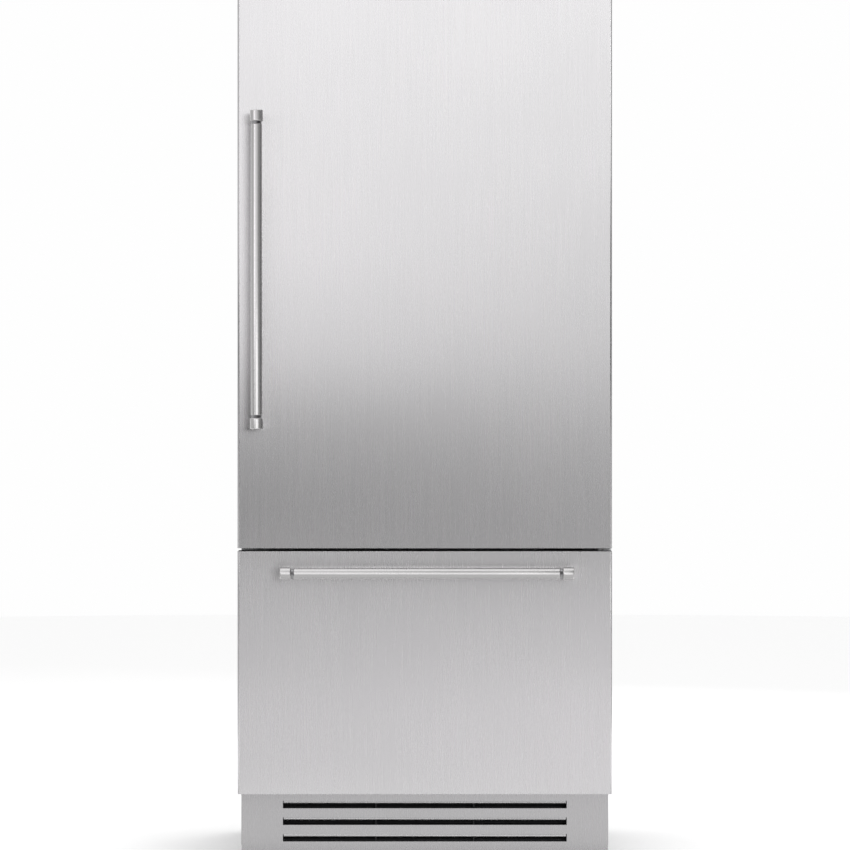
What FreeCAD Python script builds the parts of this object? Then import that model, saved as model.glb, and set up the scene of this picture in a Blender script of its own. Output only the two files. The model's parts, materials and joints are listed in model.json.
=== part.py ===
"""A stainless bottom-freezer refrigerator: a hinged upper door over a pull-out freezer drawer.

Lengths are in millimetres. +Z is up, the front faces -Y, and the origin is on the floor,
midway across the refrigerator and midway between the handles' front and the back.
"""
import FreeCAD, Part
import os
import re

from FreeCAD import Rotation, Vector

# Driving dimensions

SIZES = {
    # outside
    "overall_depth": 670.0,
    "panel_wide": 748.0,
    "panel_overhang": 4.0,
    "cabinet_top": 2035.0,
    "shell_low": 30.0,
    "handle_reach": 60.0,
    # door and drawer fronts
    "door_thick": 65.0,
    "seal_gap": 12.0,
    "drawer_low": 140.0,
    "drawer_tall": 485.0,
    "door_gap": 6.0,
    "door_top_gap": 3.0,
    "skin": 1.0,
    "skin_corner": 4.0,
    "cap_tall": 25.0,
    # walls
    "sheet_wall": 1.0,
    "liner_wall": 2.0,
    "side_wall": 55.0,
    "rear_wall": 50.0,
    "top_wall": 50.0,
    "floor_wall": 45.0,
    "step_wall": 45.0,
    "liner_flange": 25.0,
    "liner_round": 14.0,
    "rail_lap": 5.0,
    "rail_deep": 18.0,
    "rail_wall": 1.5,
    # compartments
    "divider_tall": 65.0,
    "machine_deep": 245.0,
    "machine_top": 300.0,
    # door seals
    "gasket_wide": 16.0,
    "gasket_side_inset": 30.0,
    "gasket_end_inset": 9.0,
    "gasket_top_inset": 22.0,
    "gasket_round": 10.0,
    # clearances
    "rest_gap": 0.3,
    "slide_gap": 0.5,
    "spin_gap": 0.05,
    "loose_gap": 1.0,
    "overrun": 5.0,
    # handles
    "handle_bar_r": 11.5,
    "handle_cap_r": 13.2,
    "handle_cap_long": 22.0,
    "handle_cap_round": 2.0,
    "handle_groove": 6.0,
    "handle_neck_r": 9.0,
    "handle_socket": 14.0,
    "handle_post_r": 8.0,
    "handle_foot_r": 10.5,
    "handle_foot_thick": 3.0,
    "door_handle_long": 633.0,
    "door_handle_rise": 237.5,
    "door_handle_inset": 40.5,
    "drawer_handle_left_inset": 86.5,
    "drawer_handle_right_inset": 78.0,
    "drawer_handle_drop": 43.0,
    # toe grille
    "grille_inset": 3.5,
    "grille_low": 15.0,
    "grille_setback": 20.0,
    "grille_wall": 1.5,
    "grille_top_gap": 2.0,
    "slot_side_inset": 82.5,
    "slot_tall": 9.0,
    "slot_rise": 28.5,
    "slot_edge": 18.0,
    "slot_step": 33.2,
    "slot_lip": 12.0,
    "slot_bend": 6.0,
    "slot_end_gap": 1.5,
    "grille_tab_low": 60.0,
    "grille_tab_tall": 40.0,
    # base frame, feet and rollers
    "base_plate": 3.0,
    "base_setback": 5.0,
    "base_rail_wide": 50.0,
    "base_front_deep": 60.0,
    "base_rear_gap": 4.0,
    "base_upstand": 36.0,
    "foot_inset": 68.0,
    "foot_setback": 42.0,
    "foot_stud_r": 6.0,
    "foot_boss_r": 13.0,
    "foot_boss_tall": 18.0,
    "foot_pad_r": 22.0,
    "foot_pad_tall": 12.0,
    "foot_stud_rise": 40.0,
    "roller_r": 21.5,
    "roller_wide": 24.0,
    "roller_inset": 55.0,
    "roller_rear_inset": 62.0,
    "roller_axle_r": 5.0,
    "roller_cheek": 3.0,
    "roller_cheek_low": 12.0,
    "roller_cheek_deep": 34.0,
    "roller_round": 3.0,
    # shelves
    "shelf_rise": 20.0,
    "shelf_step": 260.0,
    "shelf_headroom": 200.0,
    "shelf_setback": 118.0,
    "shelf_rear_gap": 23.0,
    "shelf_tall": 14.0,
    "shelf_border": 20.0,
    "shelf_lip": 9.0,
    "shelf_glass": 4.0,
    "ledge_wide": 9.0,
    "ledge_tall": 8.0,
    # crispers
    "crisper_tall": 220.0,
    "crisper_gap": 8.0,
    "crisper_wall": 3.0,
    "crisper_grip_deep": 22.0,
    "crisper_grip_tall": 26.0,
    "humidity_wide": 70.0,
    "humidity_tall": 12.0,
    "humidity_deep": 4.0,
    "humidity_knob": 14.0,
    "humidity_travel": 36.0,
    # control panel and light
    "control_wide": 300.0,
    "control_deep": 60.0,
    "control_tall": 48.0,
    "control_setback": 78.0,
    "control_wall": 3.0,
    "button_r": 9.0,
    "button_spread": 96.0,
    "button_proud": 3.0,
    "button_deep": 12.0,
    "button_gap": 0.3,
    "light_wide": 220.0,
    "light_deep": 130.0,
    "light_tall": 9.0,
    "light_setback": 208.0,
    "duct_wide": 130.0,
    "duct_thick": 12.0,
    "duct_rise": 25.0,
    "duct_headroom": 155.0,
    "vent_wide": 70.0,
    "vent_tall": 9.0,
    "vent_step": 130.0,
    "vent_edge": 50.0,
    # door liner and bins
    "dyke_deep": 58.0,
    "dyke_wide": 22.0,
    "dyke_side_gap": 3.0,
    "dyke_rise": 304.0,
    "dyke_headroom": 77.0,
    "bin_deep": 96.0,
    "bin_tall": 105.0,
    "bin_wall": 3.0,
    "bin_rise": 15.0,
    "bin_step": 280.0,
    "bin_ledge": 9.0,
    "bin_side_gap": 0.4,
    "dairy_tall": 96.0,
    "dairy_headroom": 20.0,
    "dairy_lid": 3.0,
    "lid_pin_r": 2.5,
    "lid_knuckle_r": 6.0,
    # hinges
    "hinge_inset": 18.0,
    "hinge_setback": 30.0,
    "hinge_plate": 4.0,
    "hinge_wide": 26.0,
    "hinge_corner_gap": 2.0,
    "hinge_front": 12.0,
    "hinge_pin_r": 5.0,
    "hinge_pin_long": 18.0,
    "hinge_flange_tall": 40.0,
    "hinge_flange": 3.0,
    "hinge_tail": 110.0,
    "screw_head_r": 5.0,
    "screw_head_tall": 3.0,
    "screw_r": 2.5,
    # drawer slides and basket
    "slide_step_gap": 7.0,
    "slide_tall": 46.0,
    "slide_deep": 12.0,
    "slide_wall": 1.5,
    "slide_setback": 4.0,
    "slide_rear_gap": 11.0,
    "slide_ledge": 7.0,
    "slide_ledge_tall": 6.0,
    "slide_tab": 26.0,
    "slide_tab_thick": 2.0,
    "basket_wall": 3.0,
    "basket_floor_gap": 15.0,
    "basket_rim": 6.0,
    "basket_rear_gap": 17.0,
    "basket_side_gap": 4.0,
    "tray_deep": 166.0,
    "tray_tall": 40.0,
    "tray_wall": 2.5,
    "tray_rim": 3.0,
    # cold side machinery
    "cover_thick": 3.0,
    "cover_gap": 50.0,
    "coil_deep": 38.0,
    "coil_headroom": 25.0,
    "coil_floor_gap": 40.0,
    "coil_side_gap": 25.0,
    "coil_fan_gap": 46.0,
    "coil_row_edge": 20.0,
    "cover_vent_wide": 200.0,
    "fin_thick": 1.5,
    "fin_step": 14.25,
    "coil_tube_r": 4.0,
    "coil_tube_step": 36.0,
    "cold_fan_inset": 105.0,
    "cold_fan_drop": 125.0,
    "cold_fan_r": 44.0,
    "cold_motor_r": 20.0,
    "cold_motor_long": 22.0,
    "fan_rim_gap": 4.0,
    "fan_hub_r": 15.0,
    "fan_hub_long": 16.0,
    "fan_shaft_r": 2.5,
    "fan_shaft_long": 18.0,
    "fan_blade_thick": 1.6,
    "fan_blade_wide": 22.0,
    # warm side machinery
    "compressor_inset": 160.0,
    "compressor_setback": 130.0,
    "compressor_r": 72.0,
    "compressor_tall": 70.0,
    "compressor_dome": 46.0,
    "compressor_foot_x": 92.0,
    "compressor_foot_y": 66.0,
    "compressor_foot": 3.0,
    "mount_r": 11.0,
    "mount_tall": 20.0,
    "mount_x": 78.0,
    "mount_y": 52.0,
    "mount_bolt_r": 3.0,
    "mount_bolt_head": 5.0,
    "fan_frame_space": 178.0,
    "fan_frame_half": 70.0,
    "fan_frame_thick": 26.0,
    "warm_fan_r": 58.0,
    "warm_motor_r": 22.0,
    "warm_motor_long": 30.0,
    "strut_wide": 8.0,
    "strut_thick": 5.0,
    "drip_inset": 30.0,
    "drip_fan_gap": 50.0,
    "drip_front_gap": 6.0,
    "drip_rear_gap": 19.0,
    "drip_tall": 30.0,
    "drip_wall": 2.0,
    "condenser_tube_r": 3.0,
    "condenser_run": 150.0,
    "condenser_pitch": 24.0,
    "condenser_layer": 34.0,
    "condenser_rise": 23.0,
    "condenser_headroom": 50.0,
    "condenser_setback": 34.0,
    "condenser_side_gap": 20.0,
    "condenser_stand": 4.0,
    "inlet_inset": 64.0,
    "inlet_drop": 90.0,
    "inlet_wide": 50.0,
    "inlet_tall": 30.0,
    "inlet_deep": 24.0,
    "inlet_wall": 3.0,
    "inlet_pin": 3.0,
    "inlet_pin_long": 14.0,
    "cover_slot_wide": 90.0,
    "cover_slot_tall": 6.0,
    "cover_slot_step_x": 116.0,
    "cover_slot_step_z": 18.0,
    "cover_slot_rise": 36.0,
    "cover_slot_headroom": 30.0,
    "cover_slot_gap": 2.0,
}

# A count, an angle, shares of the sizes that they follow, and a tolerance

BLADE_COUNT = 5
BLADE_PITCH_DEGREES = 50
BLADE_LEAD_SHARE = 0.72
BLADE_DROP_SHARE = 0.32
TOP_SCREW_SHARES = (0.35, 0.8)
FLANGE_SCREW_SHARES = (-0.32, 0.32)
COIL_TUBE_SHARES = (0.28, 0.72)
STAND_SHARES = (0.2, 0.8)
INLET_PIN_SHARES = (-0.25, 0, 0.25)
ALIGNED_SHARE = 0.999
PLACE_TOLERANCE = 0.01

doc = FreeCAD.newDocument("Refrigerator")
sheet = doc.addObject("Spreadsheet::Sheet", "Sizes")
for row, (alias, value) in enumerate(SIZES.items(), start=1):
    sheet.set(f"A{row}", alias)
    sheet.set(f"B{row}", str(value))
    sheet.setAlias(f"B{row}", alias)
doc.recompute()


class Length:
    """A length that knows both its number and the sheet expression that gives it."""

    def __init__(self, number, text):
        self.number = number
        self.text = text

    def joined(self, other, sign, number):
        text = other.text if isinstance(other, Length) else repr(other)
        return Length(number, f"({self.text} {sign} {text})")

    def __neg__(self):
        return Length(-self.number, f"(-{self.text})")

    def __add__(self, other):
        return self.joined(other, "+", self.number + number_of(other))

    def __sub__(self, other):
        return self.joined(other, "-", self.number - number_of(other))

    def __mul__(self, other):
        return self.joined(other, "*", self.number * number_of(other))

    def __rmul__(self, other):
        return self * other

    def __truediv__(self, other):
        return self.joined(other, "/", self.number / number_of(other))


def number_of(value):
    """The plain number of a length or of a number."""
    return value.number if isinstance(value, Length) else value


class Sizes:
    """Each cell of the sheet as a length, read by its alias."""

    def __getattr__(self, alias):
        return Length(float(sheet.get(alias)), f"Sizes.{alias}")


size = Sizes()
parts = {}


def bind(item, prop, value):
    """Tie a property to the sheet, or set it to a plain zero."""
    if isinstance(value, Length):
        item.setExpression(prop, value.text)
    elif value:
        raise ValueError(f"{item.Label}.{prop} is a bare length")


def new_part(label, place=None, turn=None):
    """An empty body with its own label, which may hold several separate solids."""
    body = doc.addObject("PartDesign::Body", re.sub("_", "", label.title()))
    body.Label = label
    body.AllowCompound = True
    if turn:
        body.Placement.Rotation = turn
    for axis, value in zip("xyz", place or (0, 0, 0)):
        bind(body, f"Placement.Base.{axis}", value)
    parts[label] = body
    return body


def block(body, x, y, z, cut=False):
    """A box between a low and a high place on each axis, added or cut away."""
    item = body.newObject("PartDesign::SubtractiveBox" if cut else "PartDesign::AdditiveBox", "Block")
    for prop, axis, (low, high) in zip(("Length", "Width", "Height"), "xyz", (x, y, z)):
        bind(item, prop, high - low if isinstance(high, Length) else -low + high)
        bind(item, f"Placement.Base.{axis}", low)
    return item


TURNS = {
    "X": Rotation(Vector(0, 1, 0), 90),
    "Y": Rotation(Vector(1, 0, 0), -90),
    "Z": Rotation(),
}


def rod(body, base, radius, length, along="Z", cut=False):
    """A cylinder from its base centre along one axis, added or cut away."""
    kind = "PartDesign::SubtractiveCylinder" if cut else "PartDesign::AdditiveCylinder"
    item = body.newObject(kind, "Rod")
    bind(item, "Radius", radius)
    bind(item, "Height", length)
    item.Placement.Rotation = TURNS[along]
    for axis, value in zip("xyz", base):
        bind(item, f"Placement.Base.{axis}", value)
    return item


def axis_of(body, role):
    """One of the body's own origin axes."""
    return next(item for item in body.Origin.OriginFeatures if item.Role == role)


def repeat(body, items, along, step, count):
    """Copies of features in a row, a step apart."""
    doc.recompute()
    row = body.newObject("PartDesign::LinearPattern", "Row")
    row.Originals = items
    row.Direction = (axis_of(body, f"{along}_Axis"), [""])
    row.Occurrences = count
    bind(row, "Length", step * (count - 1))
    body.Tip = row
    return row


def ring(body, items, along, count):
    """Copies of features around one of the body's axes."""
    doc.recompute()
    wheel = body.newObject("PartDesign::PolarPattern", "Ring")
    wheel.Originals = items
    wheel.Axis = (axis_of(body, f"{along}_Axis"), [""])
    wheel.Angle = 360
    wheel.Occurrences = count
    body.Tip = wheel
    return wheel


def straight(edge, axis):
    """Whether an edge is a straight line along an axis."""
    if not isinstance(edge.Curve, Part.Line):
        return False
    run = edge.Vertexes[-1].Point - edge.Vertexes[0].Point
    return abs(getattr(run, axis)) > ALIGNED_SHARE * run.Length


def near(value, place):
    """Whether a coordinate lies at a place."""
    return abs(value - number_of(place)) < PLACE_TOLERANCE


def rounded(body, radius, wanted):
    """A rounding on the edges that are wanted."""
    doc.recompute()
    base = body.Tip
    names = [f"Edge{i}" for i, edge in enumerate(base.Shape.Edges, start=1) if wanted(edge)]
    item = body.newObject("PartDesign::Fillet", "Rounding")
    item.Base = (base, names)
    bind(item, "Radius", radius)
    return item


def fitting(space, step):
    """How many copies, a step apart, stand in a row whose centres span a space."""
    return int(number_of(space) / number_of(step)) + 1


def both(half):
    """A span across the middle plane."""
    return (-half, half)


def flipped(span):
    """The same span on the other side of the middle plane."""
    return (-span[1], -span[0])


# Places that several pieces share

front = size.handle_reach - size.overall_depth / 2
rear = size.overall_depth / 2
door_back = front + size.door_thick
cabinet_front = door_back + size.seal_gap
panel_half = size.panel_wide / 2
cabinet_half = panel_half - size.panel_overhang
cabinet_in = cabinet_half - size.sheet_wall
inside_half = cabinet_half - size.side_wall
inside_rear = rear - size.rear_wall
drawer_top = size.drawer_low + size.drawer_tall
door_low = drawer_top + size.door_gap
door_top = size.cabinet_top - size.door_top_gap
freezer_floor = size.drawer_low + size.gasket_end_inset + size.gasket_wide
deck_low = freezer_floor - size.floor_wall
freezer_top = drawer_top - size.gasket_end_inset - size.gasket_wide
fridge_floor = freezer_top + size.divider_tall
fridge_top = size.cabinet_top - size.top_wall
machine_front = rear - size.machine_deep
step_top = size.machine_top + size.step_wall
step_front = machine_front - size.step_wall
rail_low = freezer_top + size.rail_lap
rail_high = fridge_floor - size.rail_lap
base_level = size.roller_r * 2 + size.loose_gap
floor_top = base_level + size.base_plate
compressor_x = cabinet_half - size.compressor_inset
compressor_y = rear - size.compressor_setback
fan_frame_left = compressor_x - size.compressor_foot_x - size.fan_frame_space
inlet_x = size.inlet_inset - cabinet_half
inlet_z = size.machine_top - size.inlet_drop
crisper_low = fridge_floor + size.rest_gap
shelf_low = fridge_floor + size.crisper_tall + size.shelf_rise
shelf_y = (cabinet_front + size.shelf_setback, inside_rear - size.shelf_rear_gap)
shelf_count = fitting(fridge_top - shelf_low - size.shelf_headroom, size.shelf_step)
cover_back = inside_rear - size.cover_gap
cover_front = cover_back - size.cover_thick
hinge_x = panel_half - size.hinge_inset
hinge_y = front + size.hinge_setback


# Cabinet

def make_shell():
    """The painted steel wrapper: two sides, a top and the flange that the seals meet."""
    body = new_part("cabinet_shell")
    flange = size.side_wall - size.liner_flange
    wall = (cabinet_in, cabinet_half)
    edge = (cabinet_half - flange, cabinet_half)
    for side in (wall, flipped(wall)):
        block(body, side, (cabinet_front, rear - size.sheet_wall), (size.shell_low, size.cabinet_top))
    block(body, both(cabinet_half), (cabinet_front, rear - size.sheet_wall),
          (size.cabinet_top - size.sheet_wall, size.cabinet_top))
    for side in (edge, flipped(edge)):
        block(body, side, (cabinet_front, cabinet_front + size.sheet_wall), (deck_low, size.cabinet_top))
    block(body, both(cabinet_half), (cabinet_front, cabinet_front + size.sheet_wall),
          (size.cabinet_top - size.top_wall + size.liner_flange, size.cabinet_top))


def make_back():
    """The flat steel back above the machine room, and the slotted cover below it."""
    body = new_part("back_panel")
    block(body, both(cabinet_half), (rear - size.sheet_wall, rear), (size.machine_top, size.cabinet_top))
    cover = new_part("machine_cover")
    block(cover, both(cabinet_half), (rear - size.sheet_wall, rear), (base_level, size.machine_top))
    clear_half = -inlet_x - size.inlet_wide / 2 - size.cover_slot_gap
    slot_columns = fitting(clear_half * 2 - size.cover_slot_wide, size.cover_slot_step_x)
    slots_wide = size.cover_slot_step_x * (slot_columns - 1) + size.cover_slot_wide
    slot_low = base_level + size.cover_slot_rise
    slot_rows = fitting(size.machine_top - slot_low - size.cover_slot_headroom, size.cover_slot_step_z)
    slot = block(cover, (-slots_wide / 2, size.cover_slot_wide - slots_wide / 2),
                 (rear - size.sheet_wall - size.overrun, rear + size.overrun),
                 (slot_low, slot_low + size.cover_slot_tall), cut=True)
    doc.recompute()
    grid = cover.newObject("PartDesign::MultiTransform", "Grid")
    rows = []
    for along, step, count in (("X", size.cover_slot_step_x, slot_columns),
                               ("Z", size.cover_slot_step_z, slot_rows)):
        line = cover.newObject("PartDesign::LinearPattern", f"Line{along}")
        line.Direction = (axis_of(cover, f"{along}_Axis"), [""])
        line.Occurrences = count
        bind(line, "Length", step * (count - 1))
        rows.append(line)
    grid.Originals = [slot]
    grid.Transformations = rows
    cover.Tip = grid
    inlet = inlet_box(0)
    block(cover, inlet[0], (rear - size.sheet_wall - size.overrun, rear + size.overrun), inlet[1], cut=True)


def inlet_box(spare):
    """The inlet's outline across and up, with a spare margin round it."""
    half_x = size.inlet_wide / 2 + spare
    half_z = size.inlet_tall / 2 + spare
    return (inlet_x - half_x, inlet_x + half_x), (inlet_z - half_z, inlet_z + half_z)


def freezer_boxes(spare):
    """The freezer's two stepped boxes, grown by a spare wall."""
    x = both(inside_half + spare)
    upper = (x, (cabinet_front, inside_rear + spare), (step_top - spare, freezer_top + spare))
    lower = (x, (cabinet_front, step_front + spare), (freezer_floor - spare, step_top))
    return upper, lower


def fridge_box(spare):
    """The fresh-food compartment's box, grown by a spare wall."""
    return (both(inside_half + spare), (cabinet_front, inside_rear + spare),
            (fridge_floor - spare, fridge_top + spare))


def make_cabinet_foam():
    """The foam that fills the cabinet's walls between the wrapper and the liners."""
    body = new_part("cabinet_foam")
    block(body, both(cabinet_in), (cabinet_front + size.sheet_wall, rear - size.sheet_wall),
          (deck_low + size.sheet_wall, size.cabinet_top - size.sheet_wall))
    for space in (fridge_box(size.liner_wall), *freezer_boxes(size.liner_wall)):
        x, (near_y, far_y), z = space
        block(body, x, (near_y - size.overrun, far_y), z, cut=True)
    block(body, both(cabinet_half + size.overrun), (machine_front - size.sheet_wall, rear + size.overrun),
          (deck_low - size.overrun, size.machine_top + size.sheet_wall), cut=True)
    block(body, both(inside_half + size.liner_flange),
          (cabinet_front, cabinet_front + size.rail_deep), (rail_low, rail_high), cut=True)


def corner_edges(half):
    """Edges that run front to back at a compartment's side walls."""
    def wanted(edge):
        return straight(edge, "y") and near(abs(edge.CenterOfMass.x), half)
    return wanted


def make_liners():
    """The two moulded liners, each with the flange that meets the wrapper."""
    fridge = new_part("fridge_liner")
    block(fridge, *fridge_box(size.liner_wall))
    flange_y = (cabinet_front, cabinet_front + size.sheet_wall)
    flange_x = both(inside_half + size.liner_flange)
    block(fridge, flange_x, flange_y, (rail_high, fridge_top + size.liner_flange))
    x, (near_y, far_y), z = fridge_box(0)
    block(fridge, x, (near_y - size.overrun, far_y), z, cut=True)
    rounded(fridge, size.liner_round, corner_edges(inside_half))
    rounded(fridge, size.liner_round + size.liner_wall, corner_edges(inside_half + size.liner_wall))
    ledge_x = (inside_half - size.ledge_wide, inside_half + size.liner_wall / 2)
    ledges = []
    for side in (ledge_x, flipped(ledge_x)):
        ledges.append(block(fridge, side, shelf_y, (shelf_low - size.ledge_tall, shelf_low)))
    repeat(fridge, ledges, "Z", size.shelf_step, shelf_count)

    freezer = new_part("freezer_liner")
    for space in freezer_boxes(size.liner_wall):
        block(freezer, *space)
    block(freezer, flange_x, flange_y, (freezer_floor - size.rail_lap, rail_low))
    for x, (near_y, far_y), z in freezer_boxes(0):
        block(freezer, x, (near_y - size.overrun, far_y), z, cut=True)


def make_middle_rail():
    """The steel rail between the compartments, a channel set into the foam."""
    body = new_part("middle_rail")
    half = inside_half + size.liner_flange
    block(body, both(half), (cabinet_front, cabinet_front + size.rail_deep), (rail_low, rail_high))
    block(body, both(half - size.rail_wall),
          (cabinet_front + size.rail_wall, cabinet_front + size.rail_deep + size.overrun),
          (rail_low + size.rail_wall, rail_high - size.rail_wall), cut=True)


def make_deck():
    """The stepped steel floor: under the freezer, up the machine room's front and over its top."""
    body = new_part("machine_deck")
    x = both(cabinet_in)
    block(body, x, (cabinet_front, machine_front), (deck_low, deck_low + size.sheet_wall))
    block(body, x, (machine_front - size.sheet_wall, machine_front),
          (deck_low, size.machine_top + size.sheet_wall))
    block(body, x, (machine_front - size.sheet_wall, rear - size.sheet_wall),
          (size.machine_top, size.machine_top + size.sheet_wall))
    flange = inside_half + size.liner_flange
    block(body, both(flange), (cabinet_front, cabinet_front + size.sheet_wall),
          (deck_low, freezer_floor - size.rail_lap))
    edge = (flange, cabinet_in)
    for side in (edge, flipped(edge)):
        block(body, side, (cabinet_front - size.overrun, cabinet_front + size.sheet_wall),
              (deck_low - size.overrun, deck_low + size.overrun), cut=True)


# Base

foot_x = cabinet_half - size.foot_inset
foot_y = cabinet_front + size.foot_setback
roller_x = cabinet_half - size.roller_inset
roller_y = rear - size.roller_rear_inset


def make_base():
    """The base frame: cross member, side rails, rear tray, foot bosses and roller cheeks."""
    body = new_part("base_frame")
    plate = (base_level, floor_top)
    base_front = cabinet_front + size.base_setback
    base_rear = rear - size.base_rear_gap
    block(body, both(cabinet_in), (base_front, base_front + size.base_front_deep), plate)
    block(body, both(cabinet_in), (machine_front - size.base_front_deep, base_rear), plate)
    rail = (cabinet_in - size.base_rail_wide, cabinet_in)
    upstand = (cabinet_in - size.base_plate, cabinet_in)
    for side in (rail, flipped(rail)):
        block(body, side, (base_front, base_rear), plate)
    for side in (upstand, flipped(upstand)):
        block(body, side, (base_front, base_rear), (base_level, base_level + size.base_upstand))
    block(body, both(cabinet_in), (base_front, base_front + size.base_plate), (base_level, deck_low))
    cheek_out = size.roller_wide / 2 + size.slide_gap
    cheek_y = (roller_y - size.roller_cheek_deep / 2, roller_y + size.roller_cheek_deep / 2)
    for sign in (-1, 1):
        centre = roller_x * sign
        rod(body, (foot_x * sign, foot_y, base_level), size.foot_boss_r, size.foot_boss_tall)
        rod(body, (foot_x * sign, foot_y, base_level - size.overrun), size.foot_stud_r + size.spin_gap,
            size.foot_boss_tall + size.overrun * 2, cut=True)
        for low, high in ((centre - cheek_out - size.roller_cheek, centre - cheek_out),
                          (centre + cheek_out, centre + cheek_out + size.roller_cheek)):
            block(body, (low, high), cheek_y, (size.roller_cheek_low, base_level))
        rod(body, (centre - cheek_out - size.roller_cheek, roller_y, size.roller_r),
            size.roller_axle_r, (cheek_out + size.roller_cheek) * 2, "X")


def make_feet_and_rollers():
    """Two front levelling feet on studs, and two rear rollers on fixed axles."""
    for name, sign in (("left", -1), ("right", 1)):
        foot = new_part(f"levelling_foot_{name}", (foot_x * sign, foot_y, 0))
        rod(foot, (0, 0, 0), size.foot_pad_r, size.foot_pad_tall)
        rounded(foot, size.roller_round, lambda edge: edge.CenterOfMass.z > size.foot_pad_tall.number / 2)
        middle = size.foot_pad_tall / 2
        rod(foot, (0, 0, middle), size.foot_stud_r, base_level + size.foot_stud_rise - middle)
        roller = new_part(f"rear_roller_{name}", (roller_x * sign, roller_y, size.roller_r))
        rod(roller, (-size.roller_wide / 2, 0, 0), size.roller_r, size.roller_wide, "X")
        rounded(roller, size.roller_round, lambda edge: isinstance(edge.Curve, Part.Circle))
        rod(roller, (-size.roller_wide, 0, 0), size.roller_axle_r + size.spin_gap,
            size.roller_wide * 2, "X", cut=True)


def make_grille():
    """The toe grille: three louvred slots, side returns and tabs to the base frame."""
    body = new_part("toe_grille")
    half = cabinet_half - size.grille_inset
    slot_half = half - size.slot_side_inset
    face = front + size.grille_setback
    top = size.drawer_low - size.grille_top_gap
    back = face + size.grille_wall
    block(body, both(half), (face, back), (size.grille_low, top))
    side = (half - size.grille_wall, half)
    for x in (side, flipped(side)):
        block(body, x, (face, cabinet_front - size.rest_gap), (size.grille_low, top))
        block(body, x, (face, cabinet_front + size.base_setback),
              (size.grille_tab_low, size.grille_tab_low + size.grille_tab_tall))
    slot_low = size.grille_low + size.slot_rise
    slot_top = slot_low + size.slot_tall
    bend_top = slot_top + size.slot_bend
    slot_count = fitting(top - slot_low - size.slot_edge, size.slot_step)
    flap = both(slot_half - size.slot_end_gap)
    slot = block(body, both(slot_half), (face - size.overrun, back + size.overrun * 2),
                 (slot_low, bend_top), cut=True)
    bend = block(body, flap, (face, face + size.slot_bend), (slot_top, bend_top))
    hollow = rod(body, (flap[0], face + size.slot_bend, bend_top), size.slot_bend - size.grille_wall,
                 flap[1] * 2, "X", cut=True)
    lip = block(body, flap, (face + size.slot_bend, face + size.slot_lip),
                (slot_top, slot_top + size.grille_wall))
    repeat(body, [slot, bend, hollow, lip], "Z", size.slot_step, slot_count)
    folds = [slot_top.number + size.slot_step.number * i for i in range(slot_count)]
    rounded(body, size.slot_bend - size.spin_gap, lambda edge: straight(edge, "x")
            and near(edge.CenterOfMass.y, face) and any(near(edge.CenterOfMass.z, z) for z in folds))


# Fresh-food compartment

def make_shelves():
    """Four glass shelves in plastic frames; the lowest covers the crispers."""
    half = inside_half - size.loose_gap
    y = shelf_y
    z = (shelf_low, shelf_low + size.shelf_tall)
    border = size.shelf_border
    hold = border - size.shelf_lip
    frames = new_part("shelf_frames")
    outer = block(frames, both(half), y, z)
    inner = block(frames, both(half - border), (y[0] + border, y[1] - border),
                  (z[0] - size.overrun, z[1] + size.overrun), cut=True)
    seat = block(frames, both(half - hold), (y[0] + hold, y[1] - hold),
                 (z[1] - size.shelf_glass, z[1] + size.overrun), cut=True)
    repeat(frames, [outer, inner, seat], "Z", size.shelf_step, shelf_count)
    panes = new_part("shelf_panes")
    pane_hold = hold + size.rest_gap
    pane = block(panes, both(half - pane_hold), (y[0] + pane_hold, y[1] - pane_hold),
                 (z[1] - size.shelf_glass, z[1]))
    repeat(panes, [pane], "Z", size.shelf_step, shelf_count)


def open_box(body, x, y, z, wall):
    """A moulded box, open at its top."""
    block(body, x, y, z)
    block(body, (x[0] + wall, x[1] - wall), (y[0] + wall, y[1] - wall), (z[0] + wall, z[1] + size.overrun),
          cut=True)


def make_crispers():
    """Two crisper drawers on the liner's floor, each with a humidity slider in its front."""
    y = shelf_y
    z = (crisper_low, crisper_low + size.crisper_tall)
    wide = (size.crisper_gap / 2, inside_half - size.liner_round - size.slide_gap)
    slot_z = z[1] - size.humidity_tall * 2
    for name, x in (("left", flipped(wide)), ("right", wide)):
        body = new_part(f"crisper_{name}")
        open_box(body, x, y, z, size.crisper_wall)
        block(body, x, (y[0] - size.crisper_grip_deep, y[0] + size.crisper_wall),
              (z[1] - size.crisper_grip_tall * 3, z[1] - size.crisper_grip_tall * 3 + size.crisper_wall))
        block(body, x, (y[0] - size.crisper_grip_deep, y[0] - size.crisper_grip_deep + size.crisper_wall),
              (z[1] - size.crisper_grip_tall * 3, z[1] - size.crisper_grip_tall * 2))
        centre = (x[0] + x[1]) / 2
        reach = size.humidity_wide / 2 + size.humidity_travel / 2 + size.slide_gap
        knob = size.humidity_knob / 2
        slot_half = size.humidity_tall / 4
        block(body, (centre - reach + knob, centre + reach - knob),
              (y[0] - size.overrun, y[0] + size.overrun),
              (slot_z - slot_half, slot_z + slot_half), cut=True)
        slider = new_part(f"humidity_slider_{name}")
        block(slider, (centre - size.humidity_wide / 2, centre + size.humidity_wide / 2),
              (y[0] - size.humidity_deep - size.rest_gap, y[0] - size.rest_gap),
              (slot_z - size.humidity_tall / 2, slot_z + size.humidity_tall / 2))
        stem = (slot_z - slot_half + size.slide_gap, slot_z + slot_half - size.slide_gap)
        block(slider, (centre - knob, centre + knob),
              (y[0] - size.humidity_deep, y[0] + size.crisper_wall + size.slide_gap), stem)
        block(slider, (centre - knob, centre + knob),
              (y[0] - size.humidity_deep * 2, y[0] - size.humidity_deep),
              (slot_z - size.humidity_tall / 2, slot_z + size.humidity_tall / 2))


control_low = fridge_top - size.control_tall
button_z = fridge_top - size.control_tall / 2


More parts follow.
